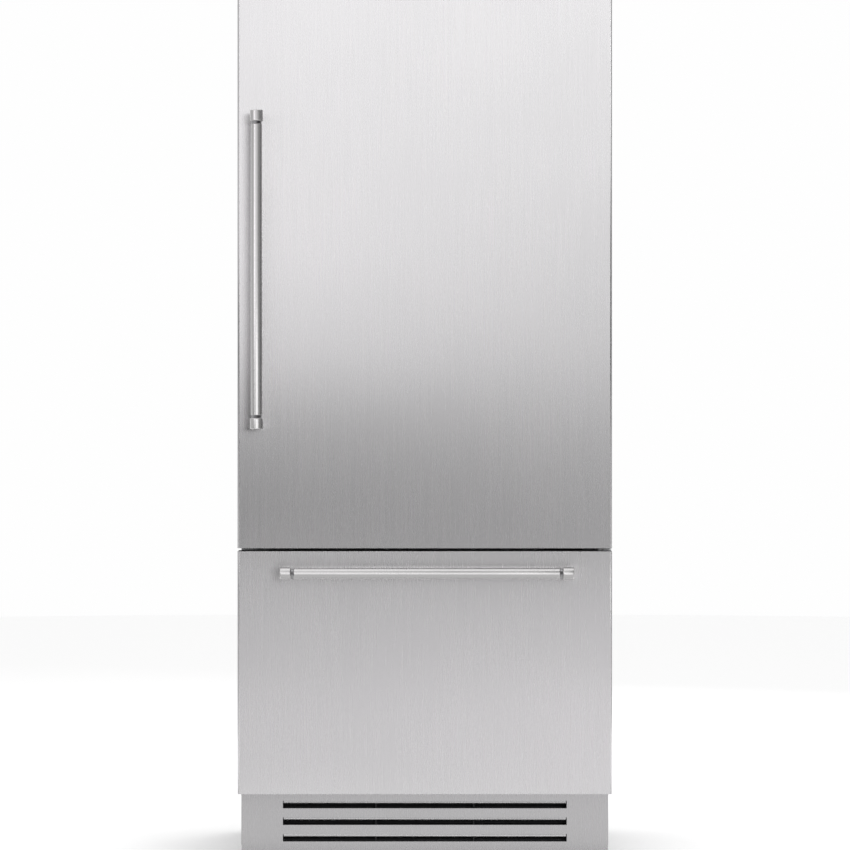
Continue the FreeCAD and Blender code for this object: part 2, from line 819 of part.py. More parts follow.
def make_controls():
    """The control panel under the ceiling, its two push-buttons, and the light's lens."""
    body = new_part("control_fascia")
    panel_front = cabinet_front + size.control_setback
    y = (panel_front, panel_front + size.control_deep)
    z = (control_low, fridge_top)
    half = size.control_wide / 2
    wall = size.control_wall
    block(body, both(half), y, z)
    block(body, both(half - wall), (y[0] + wall, y[1] - wall), (z[0] + wall, z[1] + size.overrun), cut=True)
    for name, sign in (("fridge", -1), ("freezer", 1)):
        centre = size.button_spread / 2 * sign
        rod(body, (centre, y[0] - size.overrun, button_z), size.button_r + size.button_gap,
            size.overrun * 2, "Y", cut=True)
        button = new_part(f"{name}_button")
        rod(button, (centre, y[0] - size.button_proud, button_z), size.button_r, size.button_deep, "Y")
        rounded(button, size.loose_gap,
                lambda edge: isinstance(edge.Curve, Part.Circle) and edge.CenterOfMass.y < y[0].number)
        behind = wall + size.rest_gap
        rod(button, (centre, y[0] + behind, button_z), size.button_r + size.button_proud / 2,
            size.button_deep - size.button_proud - behind, "Y")
    light = new_part("light_cover")
    light_front = cabinet_front + size.light_setback
    low = fridge_top - size.light_tall
    block(light, both(size.light_wide / 2), (light_front, light_front + size.light_deep), (low, fridge_top))
    rounded(light, size.roller_round, lambda edge: near(edge.CenterOfMass.z, low))
    duct = new_part("air_duct_cover")
    duct_low = shelf_low + size.duct_rise
    duct_tall = fridge_top - size.duct_headroom - duct_low
    block(duct, both(size.duct_wide / 2), (inside_rear - size.duct_thick, inside_rear),
          (duct_low, duct_low + duct_tall))
    vent_count = fitting(duct_tall - size.vent_edge * 2, size.vent_step)
    vent_low = duct_low + (duct_tall - size.vent_step * (vent_count - 1)) / 2
    vent = block(duct, both(size.vent_wide / 2), (inside_rear - size.duct_thick - size.overrun,
                 inside_rear - size.duct_thick / 2), (vent_low, vent_low + size.vent_tall), cut=True)
    repeat(duct, [vent], "Z", size.vent_step, vent_count)


# Door and drawer fronts

def make_front(name, low, high, top_inset):
    """One insulated front: steel skin, foam, inner liner, end caps and seal."""
    skin = new_part(f"{name}_skin")
    block(skin, both(panel_half), (front, door_back), (low, high))
    inner = both(panel_half - size.skin)
    block(skin, inner, (front + size.skin, door_back + size.overrun),
          (low - size.overrun, high + size.overrun), cut=True)
    rounded(skin, size.skin_corner - size.skin,
            lambda edge: straight(edge, "z") and near(edge.CenterOfMass.y, front + size.skin))
    rounded(skin, size.skin_corner, lambda edge: straight(edge, "z") and near(edge.CenterOfMass.y, front))
    filled = (front + size.skin, door_back - size.liner_wall)
    foam = new_part(f"{name}_foam")
    block(foam, inner, filled, (low + size.cap_tall, high - size.cap_tall))
    rounded(foam, size.skin_corner,
            lambda edge: straight(edge, "z") and near(edge.CenterOfMass.y, front + size.skin))
    caps = new_part(f"{name}_end_caps")
    for z in ((low, low + size.cap_tall), (high - size.cap_tall, high)):
        block(caps, inner, filled, z)
    rounded(caps, size.skin_corner,
            lambda edge: straight(edge, "z") and near(edge.CenterOfMass.y, front + size.skin))
    liner = new_part(f"{name}_liner")
    block(liner, inner, (door_back - size.liner_wall, door_back), (low, high))
    gasket = new_part(f"{name}_gasket")
    x = panel_half - size.gasket_side_inset
    z = (low + size.gasket_end_inset, high - top_inset)
    y = (door_back, cabinet_front - size.rest_gap)
    block(gasket, both(x), y, z)
    rounded(gasket, size.gasket_round, lambda edge: straight(edge, "y"))
    wide = size.gasket_wide
    block(gasket, both(x - wide), (y[0] - size.overrun, y[1] + size.overrun), (z[0] + wide, z[1] - wide),
          cut=True)
    return liner, caps, foam


def make_handle(name, place, turn, long):
    """A round bar between two capped posts that stand on the panel."""
    axis_y = front - size.handle_reach + size.handle_cap_r
    x, z = place
    bar = new_part(f"{name}_handle_bar", (x, axis_y, z), turn)
    inset = size.handle_cap_long + size.handle_groove
    rod(bar, (inset, 0, 0), size.handle_bar_r, long - inset * 2, "X")
    rounded(bar, size.handle_cap_round / 2, lambda edge: isinstance(edge.Curve, Part.Circle))
    neck = size.handle_cap_long - size.handle_socket
    rod(bar, (neck, 0, 0), size.handle_neck_r, long - neck * 2, "X")
    mounts = new_part(f"{name}_handle_mounts", (x, axis_y, z), turn)
    reach = front - axis_y
    for base in (0, long - size.handle_cap_long):
        rod(mounts, (base, 0, 0), size.handle_cap_r, size.handle_cap_long, "X")
    rounded(mounts, size.handle_cap_round, lambda edge: isinstance(edge.Curve, Part.Circle))
    for middle in (size.handle_cap_long / 2, long - size.handle_cap_long / 2):
        rod(mounts, (middle, 0, 0), size.handle_post_r, reach, "Y")
        rod(mounts, (middle, reach - size.handle_foot_thick, 0), size.handle_foot_r,
            size.handle_foot_thick, "Y")
    rod(mounts, (neck, 0, 0), size.handle_neck_r + size.spin_gap, long - neck * 2, "X", cut=True)


def make_door():
    """The fresh-food door with its dykes, bins, hinge sockets and handle."""
    liner, caps, foam = make_front("door", door_low, door_top, size.gasket_top_inset)
    dyke_out = inside_half - size.dyke_side_gap
    dyke = (dyke_out - size.dyke_wide, dyke_out)
    dyke_z = (door_low + size.dyke_rise, door_top - size.dyke_headroom)
    wall = size.liner_wall
    for side in (dyke, flipped(dyke)):
        core_x = (side[0] + wall, side[1] - wall)
        core_z = (dyke_z[0] + wall, dyke_z[1] - wall)
        core_rear = door_back + size.dyke_deep - wall
        block(liner, side, (door_back - wall, door_back + size.dyke_deep), dyke_z)
        block(liner, core_x, (door_back - wall - size.overrun, core_rear), core_z, cut=True)
        block(foam, core_x, (door_back - wall * 2, core_rear), core_z)
    bin_low = dyke_z[0] + size.bin_rise
    door_rows = fitting(control_low - size.dairy_headroom - size.dairy_tall - bin_low, size.bin_step)
    ledge = (dyke[0] - size.bin_ledge, dyke[0])
    ledges = []
    for side in (ledge, flipped(ledge)):
        ledges.append(block(liner, side, (door_back, door_back + size.dyke_deep),
                            (bin_low - size.bin_ledge, bin_low)))
    repeat(liner, ledges, "Z", size.bin_step, door_rows)

    bins = new_part("door_bins")
    half = dyke[0] - size.bin_side_gap
    y = (door_back, door_back + size.bin_deep)
    z = (bin_low, bin_low + size.bin_tall)
    outer = block(bins, both(half), y, z)
    inner = block(bins, both(half - size.bin_wall), (y[0] + size.bin_wall, y[1] - size.bin_wall),
                  (z[0] + size.bin_wall, z[1] + size.overrun), cut=True)
    repeat(bins, [outer, inner], "Z", size.bin_step, door_rows - 1)

    dairy_low = bin_low + size.bin_step * (door_rows - 1)
    dairy_z = (dairy_low, dairy_low + size.dairy_tall)
    block(bins, both(half), y, dairy_z)
    block(bins, both(half - size.bin_wall), (y[0] + size.bin_wall, y[1] + size.overrun),
          (dairy_z[0] + size.bin_wall, dairy_z[1] - size.bin_wall), cut=True)
    lid = new_part("dairy_lid")
    knuckle_y = y[1] - size.lid_knuckle_r
    knuckle_z = dairy_z[1] - size.bin_wall - size.lid_knuckle_r - size.loose_gap
    inside = half - size.bin_wall - size.slide_gap
    block(lid, both(inside), (y[1] - size.dairy_lid, y[1]),
          (dairy_z[0] + size.bin_wall + size.loose_gap, knuckle_z))
    rod(lid, (-inside, knuckle_y, knuckle_z), size.lid_knuckle_r, inside * 2, "X")
    rod(lid, (-inside - size.overrun, knuckle_y, knuckle_z), size.lid_pin_r + size.spin_gap,
        (inside + size.overrun) * 2, "X", cut=True)
    rod(bins, (size.bin_wall / 2 - half, knuckle_y, knuckle_z), size.lid_pin_r,
        half * 2 - size.bin_wall, "X")

    for base in (door_low, door_top - size.cap_tall):
        rod(caps, (hinge_x, hinge_y, base - size.overrun), size.hinge_pin_r + size.spin_gap,
            size.cap_tall + size.overrun * 2, cut=True)
    make_handle("door", (size.door_handle_inset - panel_half, door_low + size.door_handle_rise),
                Rotation(Vector(0, 1, 0), -90), size.door_handle_long)


# Hinges

def make_hinges():
    """The top and middle hinge plates with their pins, and the screws that hold them."""
    plate_x = (hinge_x - size.hinge_wide / 2, hinge_x + size.hinge_wide / 2)
    tip = hinge_y - size.hinge_front
    top = new_part("top_hinge")
    top_z = (size.cabinet_top, size.cabinet_top + size.hinge_plate)
    block(top, plate_x, (tip, cabinet_front + size.hinge_tail), top_z)
    corner = size.hinge_wide / 2 - size.hinge_corner_gap
    rounded(top, corner, lambda edge: straight(edge, "z"))
    rod(top, (hinge_x, hinge_y, door_top - size.hinge_pin_long), size.hinge_pin_r,
        size.hinge_pin_long + size.door_top_gap + size.hinge_plate / 2)
    middle = new_part("middle_hinge")
    middle_z = (door_low - size.loose_gap - size.hinge_plate, door_low - size.loose_gap)
    block(middle, plate_x, (tip, cabinet_front), middle_z)
    rounded(middle, corner, lambda edge: straight(edge, "z") and near(edge.CenterOfMass.y, tip))
    flange_x = (panel_half - size.gasket_side_inset + size.loose_gap, plate_x[1])
    centre_z = (middle_z[0] + middle_z[1]) / 2
    flange_z = (centre_z - size.hinge_flange_tall / 2, centre_z + size.hinge_flange_tall / 2)
    block(middle, flange_x, (cabinet_front - size.hinge_flange, cabinet_front), flange_z)
    rod(middle, (hinge_x, hinge_y, middle_z[0] + size.hinge_plate / 2), size.hinge_pin_r,
        size.hinge_plate / 2 + size.loose_gap + size.hinge_pin_long)

    screws = new_part("hinge_screws")
    hole = size.screw_r + size.spin_gap
    for share in TOP_SCREW_SHARES:
        y = cabinet_front + size.hinge_tail * share
        rod(top, (hinge_x, y, top_z[0] - size.overrun), hole, size.hinge_plate + size.overrun * 2, cut=True)
        rod(screws, (hinge_x, y, top_z[0]), size.screw_r, size.hinge_plate)
        rod(screws, (hinge_x, y, top_z[1]), size.screw_head_r, size.screw_head_tall)
    flange_mid = (flange_x[0] + flange_x[1]) / 2
    face = cabinet_front - size.hinge_flange
    for share in FLANGE_SCREW_SHARES:
        z = centre_z + size.hinge_flange_tall * share
        rod(middle, (flange_mid, face - size.overrun, z), hole, size.hinge_flange + size.overrun * 2, "Y",
            cut=True)
        rod(screws, (flange_mid, face, z), size.screw_r, size.hinge_flange, "Y")
        rod(screws, (flange_mid, face - size.screw_head_tall, z), size.screw_head_r,
            size.screw_head_tall, "Y")


# Freezer drawer

slide_y = (cabinet_front + size.slide_setback, cover_front - size.slide_rear_gap)
slide_low = step_top + size.slide_step_gap
slide_z = (slide_low, slide_low + size.slide_tall)


def channel(body, x, z, wall):
    """A pair of channels, open towards the middle, between two heights."""
    for side, web in ((x, (x[0], x[1] - wall)), (flipped(x), (wall - x[1], -x[0]))):
        block(body, side, slide_y, z)
        low, high = (web[0] - size.overrun, web[1]) if side is x else (web[0], web[1] + size.overrun)
        block(body, (low, high), (slide_y[0] - size.overrun, slide_y[1] + size.overrun),
              (z[0] + wall, z[1] - wall), cut=True)


def make_slides():
    """The telescopic slides: an outer, a middle and an inner member on each side."""
    wall = size.slide_wall
    gap = size.slide_gap
    near_x = inside_half - size.slide_deep
    channel(new_part("slide_outer_members"), (near_x, inside_half), slide_z, wall)
    middle_z = (slide_z[0] + wall + gap, slide_z[1] - wall - gap)
    middle_x = (near_x, inside_half - wall - gap)
    channel(new_part("slide_middle_members"), middle_x, middle_z, wall)
    inner = new_part("slide_inner_members")
    bar_x = (near_x, middle_x[1] - wall - gap)
    bar_z = (middle_z[0] + wall + gap, middle_z[1] - wall - gap)
    ledge_x = (near_x - size.slide_ledge, near_x)
    tab_x = (bar_x[1] - size.slide_tab, bar_x[1])
    for sign in (1, -1):
        def at(span):
            return span if sign > 0 else flipped(span)
        block(inner, at(bar_x), (door_back, slide_y[1]), bar_z)
        block(inner, at(ledge_x), (door_back, slide_y[1]), (bar_z[1] - size.slide_ledge_tall, bar_z[1]))
        block(inner, at(tab_x), (door_back, door_back + size.slide_tab_thick), bar_z)
    return near_x, bar_z[1]


def make_drawer():
    """The freezer drawer: front, slides, stepped basket, tray and handle."""
    make_front("drawer", size.drawer_low, drawer_top, size.gasket_end_inset)
    near_x, rim_low = make_slides()
    wall = size.basket_wall
    half = near_x - size.slide_ledge - size.basket_side_gap
    rim_half = near_x - size.slide_gap
    top = rim_low + size.basket_rim
    y0 = cabinet_front + size.slide_setback * 2
    deep_rear = step_front - size.slide_setback * 3
    basket_low = freezer_floor + size.basket_floor_gap
    basket_rear = cover_front - size.basket_rear_gap
    ledge_low = step_top + size.slide_setback * 2
    basket = new_part("freezer_basket")
    block(basket, both(half), (y0, deep_rear), (basket_low, top))
    block(basket, both(half), (y0, basket_rear), (ledge_low, top))
    block(basket, both(rim_half), (y0, basket_rear), (rim_low, top))
    block(basket, both(half - wall), (y0 + wall, deep_rear - wall),
          (basket_low + wall, top + size.overrun), cut=True)
    block(basket, both(half - wall), (y0 + wall, basket_rear - wall),
          (ledge_low + wall, top + size.overrun), cut=True)
    tray = new_part("freezer_tray")
    tray_half = half - wall - size.slide_gap
    tray_low = top + size.rest_gap + size.tray_rim - size.tray_tall
    tray_y = (y0 + wall + size.loose_gap, y0 + wall + size.loose_gap + size.tray_deep)
    tray_top = top + size.rest_gap + size.tray_rim
    block(tray, both(tray_half), tray_y, (tray_low, tray_top))
    block(tray, both(rim_half - size.loose_gap), tray_y, (tray_top - size.tray_rim, tray_top))
    thin = size.tray_wall
    block(tray, both(tray_half - thin), (tray_y[0] + thin, tray_y[1] - thin),
          (tray_low + thin, tray_top + size.overrun), cut=True)
    handle_left = size.drawer_handle_left_inset - panel_half
    handle_right = panel_half - size.drawer_handle_right_inset
    make_handle("drawer", (handle_left, drawer_top - size.drawer_handle_drop), Rotation(),
                handle_right - handle_left)


# Cooling machinery

def fan_rotor(name, place, turn, radius):
    """A fan wheel about its own X axis: a hub with a bore, and pitched blades."""
    body = new_part(name, place, turn)
    hub = size.fan_hub_r
    rod(body, (0, 0, 0), hub, size.fan_hub_long, "X")
    blade = body.newObject("PartDesign::AdditiveBox", "Blade")
    bind(blade, "Length", size.fan_blade_thick)
    bind(blade, "Width", size.fan_blade_wide)
    bind(blade, "Height", radius - hub + size.loose_gap)
    blade.Placement.Rotation = Rotation(Vector(0, 0, 1), BLADE_PITCH_DEGREES)
    bind(blade, "Placement.Base.x", size.fan_blade_wide * BLADE_LEAD_SHARE)
    bind(blade, "Placement.Base.y", -size.fan_blade_wide * BLADE_DROP_SHARE)
    bind(blade, "Placement.Base.z", hub - size.loose_gap)
    ring(body, [blade], "X", BLADE_COUNT)
    rod(body, (-size.overrun, 0, 0), size.fan_shaft_r + size.spin_gap, size.fan_hub_long * 2, "X", cut=True)


def make_cold_side():
    """The evaporator behind its cover in the freezer, with its fan."""
    coil_left = size.coil_side_gap - inside_half
    fan_x = inside_half - size.cold_fan_inset
    fan_z = freezer_top - size.cold_fan_drop
    opening = size.cold_fan_r + size.fan_rim_gap
    cover = new_part("evaporator_cover")
    block(cover, both(inside_half), (cover_front, cover_back), (step_top, freezer_top))
    block(cover, (coil_left, coil_left + size.cover_vent_wide),
          (cover_back - size.overrun, cover_back + size.overrun),
          (step_top + size.vent_tall, step_top + size.vent_tall * 3), cut=True)
    rod(cover, (fan_x, cover_back - size.overrun, fan_z), opening, size.overrun * 2, "Y", cut=True)
    bar = size.strut_thick / 2
    for step in (-1, 0, 1):
        centre = fan_z + size.strut_wide * 2 * step
        block(cover, (fan_x - opening, fan_x + opening), (cover_front, cover_back),
              (centre - bar / 2, centre + bar / 2))

    coil = new_part("evaporator_coil")
    y = (inside_rear - size.coil_deep, inside_rear)
    z = (step_top + size.coil_floor_gap, freezer_top - size.coil_headroom)
    fin_count = fitting(fan_x - opening - size.coil_fan_gap - coil_left, size.fin_step)
    fin = block(coil, (coil_left, coil_left + size.fin_thick), y, z)
    repeat(coil, [fin], "X", size.fin_step, fin_count)
    row_count = fitting(z[1] - z[0] - size.coil_row_edge * 2, size.coil_tube_step)
    tube_low = (z[0] + z[1] - size.coil_tube_step * (row_count - 1)) / 2
    for share in COIL_TUBE_SHARES:
        for i in range(row_count):
            rod(coil, (coil_left - size.fin_step / 2, inside_rear - size.coil_deep * share,
                       tube_low + size.coil_tube_step * i),
                size.coil_tube_r, size.fin_step * fin_count, "X")

    motor = new_part("evaporator_fan_motor")
    rod(motor, (fan_x, inside_rear - size.cold_motor_long, fan_z),
        size.cold_motor_r, size.cold_motor_long, "Y")
    shaft_y = inside_rear - size.cold_motor_long - size.fan_shaft_long
    rod(motor, (fan_x, shaft_y, fan_z), size.fan_shaft_r,
        size.fan_shaft_long + size.cold_motor_long / 2, "Y")
    fan_rotor("evaporator_fan", (fan_x, shaft_y + size.loose_gap, fan_z),
              Rotation(Vector(0, 0, 1), 90), size.cold_fan_r)


def make_compressor():
    """The compressor on its four rubber mounts."""
    body = new_part("compressor")
    plate_low = floor_top + size.mount_tall
    cx = compressor_x
    cy = compressor_y
    foot_high = plate_low + size.compressor_foot
    block(body, (cx - size.compressor_foot_x, cx + size.compressor_foot_x),
          (cy - size.compressor_foot_y, cy + size.compressor_foot_y), (plate_low, foot_high))
    rod(body, (cx, cy, plate_low), size.compressor_r, size.compressor_tall)
    dome = body.newObject("PartDesign::AdditiveEllipsoid", "Dome")
    bind(dome, "Radius1", size.compressor_dome)
    bind(dome, "Radius2", size.compressor_r)
    bind(dome, "Radius3", size.compressor_r)
    for axis, value in zip("xyz", (cx, cy, plate_low + size.compressor_tall)):
        bind(dome, f"Placement.Base.{axis}", value)
    mounts = new_part("compressor_mounts")
    for sx in (-1, 1):
        for sy in (-1, 1):
            x = cx + size.mount_x * sx
            y = cy + size.mount_y * sy
            rod(mounts, (x, y, floor_top), size.mount_r, size.mount_tall)
            rod(body, (x, y, plate_low - size.overrun), size.mount_bolt_r + size.spin_gap,
                size.compressor_foot + size.overrun, cut=True)
            rod(mounts, (x, y, floor_top), size.mount_bolt_r, size.mount_tall + size.compressor_foot)
            rod(mounts, (x, y, foot_high), size.mount_bolt_head, size.screw_head_tall)


def make_warm_fan():
    """The condenser fan: a square frame with the motor on struts, and the wheel in it."""
    frame = new_part("condenser_fan_frame")
    half = size.fan_frame_half
    fy = compressor_y
    fz = floor_top + half
    x = (fan_frame_left, fan_frame_left + size.fan_frame_thick)
    block(frame, x, (fy - half, fy + half), (floor_top, floor_top + half * 2))
    rod(frame, (x[0] - size.overrun, fy, fz), size.warm_fan_r + size.fan_rim_gap,
        size.fan_frame_thick + size.overrun * 2, "X", cut=True)
    motor_x = x[1] - size.strut_thick
    rod(frame, (motor_x, fy, fz), size.warm_motor_r, size.warm_motor_long, "X")
    strut = size.strut_wide / 2
    reach = size.warm_fan_r + size.fan_rim_gap * 2
    block(frame, (motor_x, x[1]), (fy - reach, fy + reach), (fz - strut, fz + strut))
    block(frame, (motor_x, x[1]), (fy - strut, fy + strut), (fz - reach, fz + reach))
    shaft_x = motor_x - size.fan_shaft_long
    rod(frame, (shaft_x, fy, fz), size.fan_shaft_r, size.fan_shaft_long + size.warm_motor_long / 2, "X")
    fan_rotor("condenser_fan", (shaft_x + size.slide_gap, fy, fz), None, size.warm_fan_r)


def make_condenser():
    """The drip tray and, standing in it, the condenser's serpentine tube."""
    tray = new_part("drip_tray")
    x = (size.drip_inset - cabinet_half, fan_frame_left - size.drip_fan_gap)
    y = (machine_front + size.drip_front_gap, rear - size.drip_rear_gap)
    open_box(tray, x, y, (floor_top, floor_top + size.drip_tall), size.drip_wall)

    tray_floor = floor_top + size.drip_wall
    lowest = tray_floor + size.condenser_rise
    run_count = fitting(size.machine_top - lowest - size.condenser_headroom, size.condenser_pitch)
    pitch = size.condenser_pitch.number
    bend = pitch / 2
    near_y = number_of(y[0] + size.condenser_setback) + bend
    far_y = near_y + size.condenser_run.number
    left = number_of(x[0] + size.condenser_side_gap)
    low = lowest.number
    layer = size.condenser_layer.number
    high = low + pitch * (run_count - 1)
    edges = []

    def add_line(start, end):
        edges.append(Part.makeLine(start, end))

    def add_arc(start, middle, end):
        edges.append(Part.Arc(start, middle, end).toShape())

    for column, x_at in enumerate((left, left + layer)):
        for run in range(run_count):
            z = low + pitch * run if column == 0 else high - pitch * run
            forward = (run + column * run_count) % 2 == 0
            ends = (near_y, far_y) if forward else (far_y, near_y)
            add_line(Vector(x_at, ends[0], z), Vector(x_at, ends[1], z))
            if run < run_count - 1:
                step = pitch if column == 0 else -pitch
                out = bend if forward else -bend
                add_arc(Vector(x_at, ends[1], z), Vector(x_at, ends[1] + out, z + step / 2),
                        Vector(x_at, ends[1], z + step))
        if column == 0:
            out = layer / 2 if forward else -layer / 2
            add_arc(Vector(x_at, ends[1], z), Vector(x_at + layer / 2, ends[1] + out, z),
                    Vector(x_at + layer, ends[1], z))
    path = Part.Wire(edges)
    start = Vector(left, near_y, low)
    ring_wire = Part.Wire([Part.makeCircle(size.condenser_tube_r.number, start, Vector(0, 1, 0))])
    tube = path.makePipeShell([ring_wire], True, False)
    stand_half = size.condenser_stand.number / 2
    foot = tray_floor.number
    radius = size.condenser_tube_r.number
    stands = []
    for share in STAND_SHARES:
        stand_y = near_y + size.condenser_run.number * share
        corner = Vector(left - radius * 2, stand_y - stand_half, foot)
        stands.append(Part.makeBox(layer + radius * 4, stand_half * 2, high + radius * 2 - foot, corner))
    item = doc.addObject("Part::Feature", "CondenserCoil")
    item.Shape = tube.fuse(stands).removeSplitter()
    item.Label = "condenser_coil"
    item.Placement = FreeCAD.Placement()
    parts["condenser_coil"] = item


def make_inlet():
    """The mains inlet, set through the machine room's rear cover."""
    body = new_part("mains_inlet")
    x, z = inlet_box(-size.rest_gap)
    block(body, x, (rear - size.inlet_deep, rear), z)
    wall = size.inlet_wall
    block(body, (x[0] + wall, x[1] - wall), (rear - size.inlet_deep + wall, rear + size.overrun),
          (z[0] + wall, z[1] - wall), cut=True)
    centre_x = (x[0] + x[1]) / 2
    centre_z = (z[0] + z[1]) / 2
    pin = size.inlet_pin / 2
    for share in INLET_PIN_SHARES:
        middle = centre_x + size.inlet_wide * share
        block(body, (middle - pin, middle + pin),
              (rear - size.inlet_deep, rear - size.inlet_deep + size.inlet_pin_long),
              (centre_z - pin * 2, centre_z + pin * 2))


make_shell()
make_back()
make_cabinet_foam()
make_liners()
make_middle_rail()
make_deck()
make_base()
make_feet_and_rollers()
make_grille()
make_shelves()
make_crispers()
make_controls()
make_door()
make_hinges()
make_drawer()
make_cold_side()
make_compressor()
make_warm_fan()
make_condenser()
make_inlet()
doc.recompute()

# Checks before anything is written

failed = [item for item in doc.Objects if "Invalid" in item.State or "Error" in item.State]
if failed:
    raise RuntimeError("; ".join(f"{item.Label} has failed, before it {item.InList}" for item in failed))
for label, item in parts.items():
    if item.Shape.isNull() or not item.Shape.isValid() or not item.Shape.Solids:
        raise RuntimeError(f"{label} has no valid solid")

os.makedirs("parts", exist_ok=True)
for label, item in parts.items():
    item.Shape.exportStep(f"parts/{label}.step")
    box = item.Shape.BoundBox
    print(f"{label}: {len(item.Shape.Solids)} solid(s), "
          f"x {box.XMin:.1f} to {box.XMax:.1f}, y {box.YMin:.1f} to {box.YMax:.1f}, "
          f"z {box.ZMin:.1f} to {box.ZMax:.1f}")
print(f"{len(parts)} nodes")
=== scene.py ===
import bmesh
import bpy
import json
import math

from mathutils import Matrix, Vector


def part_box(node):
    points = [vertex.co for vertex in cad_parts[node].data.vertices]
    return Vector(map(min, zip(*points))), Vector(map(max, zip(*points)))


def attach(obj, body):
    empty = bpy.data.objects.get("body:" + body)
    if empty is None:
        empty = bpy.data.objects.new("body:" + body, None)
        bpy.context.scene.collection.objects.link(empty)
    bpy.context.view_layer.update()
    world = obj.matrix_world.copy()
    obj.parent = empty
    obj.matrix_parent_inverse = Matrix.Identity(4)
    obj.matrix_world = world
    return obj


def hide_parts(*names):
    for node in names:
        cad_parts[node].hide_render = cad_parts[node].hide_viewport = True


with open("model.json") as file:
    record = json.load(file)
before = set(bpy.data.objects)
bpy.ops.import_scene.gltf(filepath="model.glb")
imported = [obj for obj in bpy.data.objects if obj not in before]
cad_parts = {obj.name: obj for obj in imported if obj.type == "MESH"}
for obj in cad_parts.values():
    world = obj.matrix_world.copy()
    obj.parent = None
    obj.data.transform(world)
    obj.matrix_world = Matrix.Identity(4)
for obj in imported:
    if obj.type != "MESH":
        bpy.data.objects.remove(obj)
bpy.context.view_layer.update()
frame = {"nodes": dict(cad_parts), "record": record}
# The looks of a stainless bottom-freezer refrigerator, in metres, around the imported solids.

nodes = frame["nodes"]
scene = bpy.context.scene

MM = 0.001
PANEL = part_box("door_skin")
FRONT = PANEL[0].y


# Shader building. Scales are in cycles per metre, depths of relief in metres, and wear is how far
# a roughness strays to each side.

STREAK_WEAR = 0.015
STREAK_DEPTH = 1.5e-6
CLOUD_WEAR = 0.012
MOULD_GRAIN = 900.0
MOULD_WEAR = 0.04
MOULD_DEPTH = 8e-6
PEEL_SCALE = 420.0
PEEL_WEAR = 0.05
PEEL_DEPTH = 2.5e-5
SPANGLE_SCALE = 95.0
SPANGLE_DEPTH = 1e-5
FLOW_WEAR = 0.04
FLOW_DEPTH = 2e-5
FLOW_STRENGTH = 0.4
FOAM_SCALE = 700.0
FOAM_DEPTH = 4e-4


def shade(tone, share):
    """A colour made lighter or darker by a share."""
    return tuple(min(1.0, part * share) for part in tone)


class Shader:
    """One material, with short calls for the nodes that it needs."""

    def __init__(self, name):
        self.material = bpy.data.materials.new(name)
        self.material.use_nodes = True
        self.tree = self.material.node_tree
        self.surface = self.tree.nodes["Principled BSDF"]

    def node(self, kind, **values):
        item = self.tree.nodes.new("ShaderNode" + kind)
        for key, value in values.items():
            if hasattr(item, key):
                setattr(item, key, value)
            else:
                item.inputs[key.replace("_", " ")].default_value = value
        return item

    def link(self, out, socket):
        self.tree.links.new(out, socket)

    def set(self, **values):
        for key, value in values.items():
            self.surface.inputs[key.replace("_", " ")].default_value = value

    def place(self, scale):
        """Object coordinates stretched along each axis, in cycles per metre."""
        coordinates = self.node("TexCoord")
        mapping = self.node("Mapping", Scale=scale)
        self.link(coordinates.outputs["Object"], mapping.inputs["Vector"])
        return mapping.outputs["Vector"]

    def noise(self, scale, detail=4.0, roughness=0.6):
        texture = self.node("TexNoise", Scale=1.0, Detail=detail, Roughness=roughness)
        self.link(self.place(scale), texture.inputs["Vector"])
        return texture.outputs["Fac"]

    def between(self, factor, low, high, start=0.25, stop=0.75):
        """A number that follows a factor. Noise stays between the default start and stop, mostly."""
        span = self.node("MapRange")
        self.link(factor, span.inputs["Value"])
        for name, value in (("From Min", start), ("From Max", stop), ("To Min", low), ("To Max", high)):
            span.inputs[name].default_value = value
        return span.outputs["Result"]

    def tint(self, factor, dark, light):
        """A colour that follows a factor from one colour to another."""
        mix = self.node("Mix", data_type="RGBA")
        self.link(factor, mix.inputs["Factor"])
        mix.inputs["A"].default_value = (*dark, 1)
        mix.inputs["B"].default_value = (*light, 1)
        return mix.outputs["Result"]

    def colour(self, factor, tone, dark, light):
        """The surface's colour, between two shares of a tone."""
        follow = self.tint(factor, shade(tone, dark), shade(tone, light))
        self.link(follow, self.surface.inputs["Base Color"])

    def roughen(self, factor, low, high):
        """The surface's roughness, between two values."""
        self.link(self.between(factor, low, high), self.surface.inputs["Roughness"])

    def bump(self, height, depth, strength=1.0):
        """The surface's relief."""
        relief = self.node("Bump", Strength=strength, Distance=depth)
        self.link(height, relief.inputs["Height"])
        self.link(relief.outputs["Normal"], self.surface.inputs["Normal"])


def brushed(name, tone, grain, rough, anisotropic=0.0, contrast=0.05, metallic=1.0):
    """Brushed steel: fine streaks along one axis in its colour, roughness and relief."""
    shader = Shader(name)
    streaks = shader.noise(grain, detail=3.0)
    clouds = shader.noise((3.0,) * 3, detail=2.0)
    shader.colour(streaks, tone, 1 - contrast, 1 + contrast)
    wear = shader.node("Math", operation="ADD")
    shader.link(shader.between(streaks, rough - STREAK_WEAR, rough + STREAK_WEAR), wear.inputs[0])
    shader.link(shader.between(clouds, -CLOUD_WEAR, CLOUD_WEAR), wear.inputs[1])
    shader.link(wear.outputs[0], shader.surface.inputs["Roughness"])
    shader.set(Metallic=metallic, Anisotropic=anisotropic)
    if anisotropic:
        tangent = shader.node("Tangent", direction_type="RADIAL", axis="Z")
        shader.link(tangent.outputs["Tangent"], shader.surface.inputs["Tangent"])
    shader.bump(streaks, STREAK_DEPTH)
    return shader.material


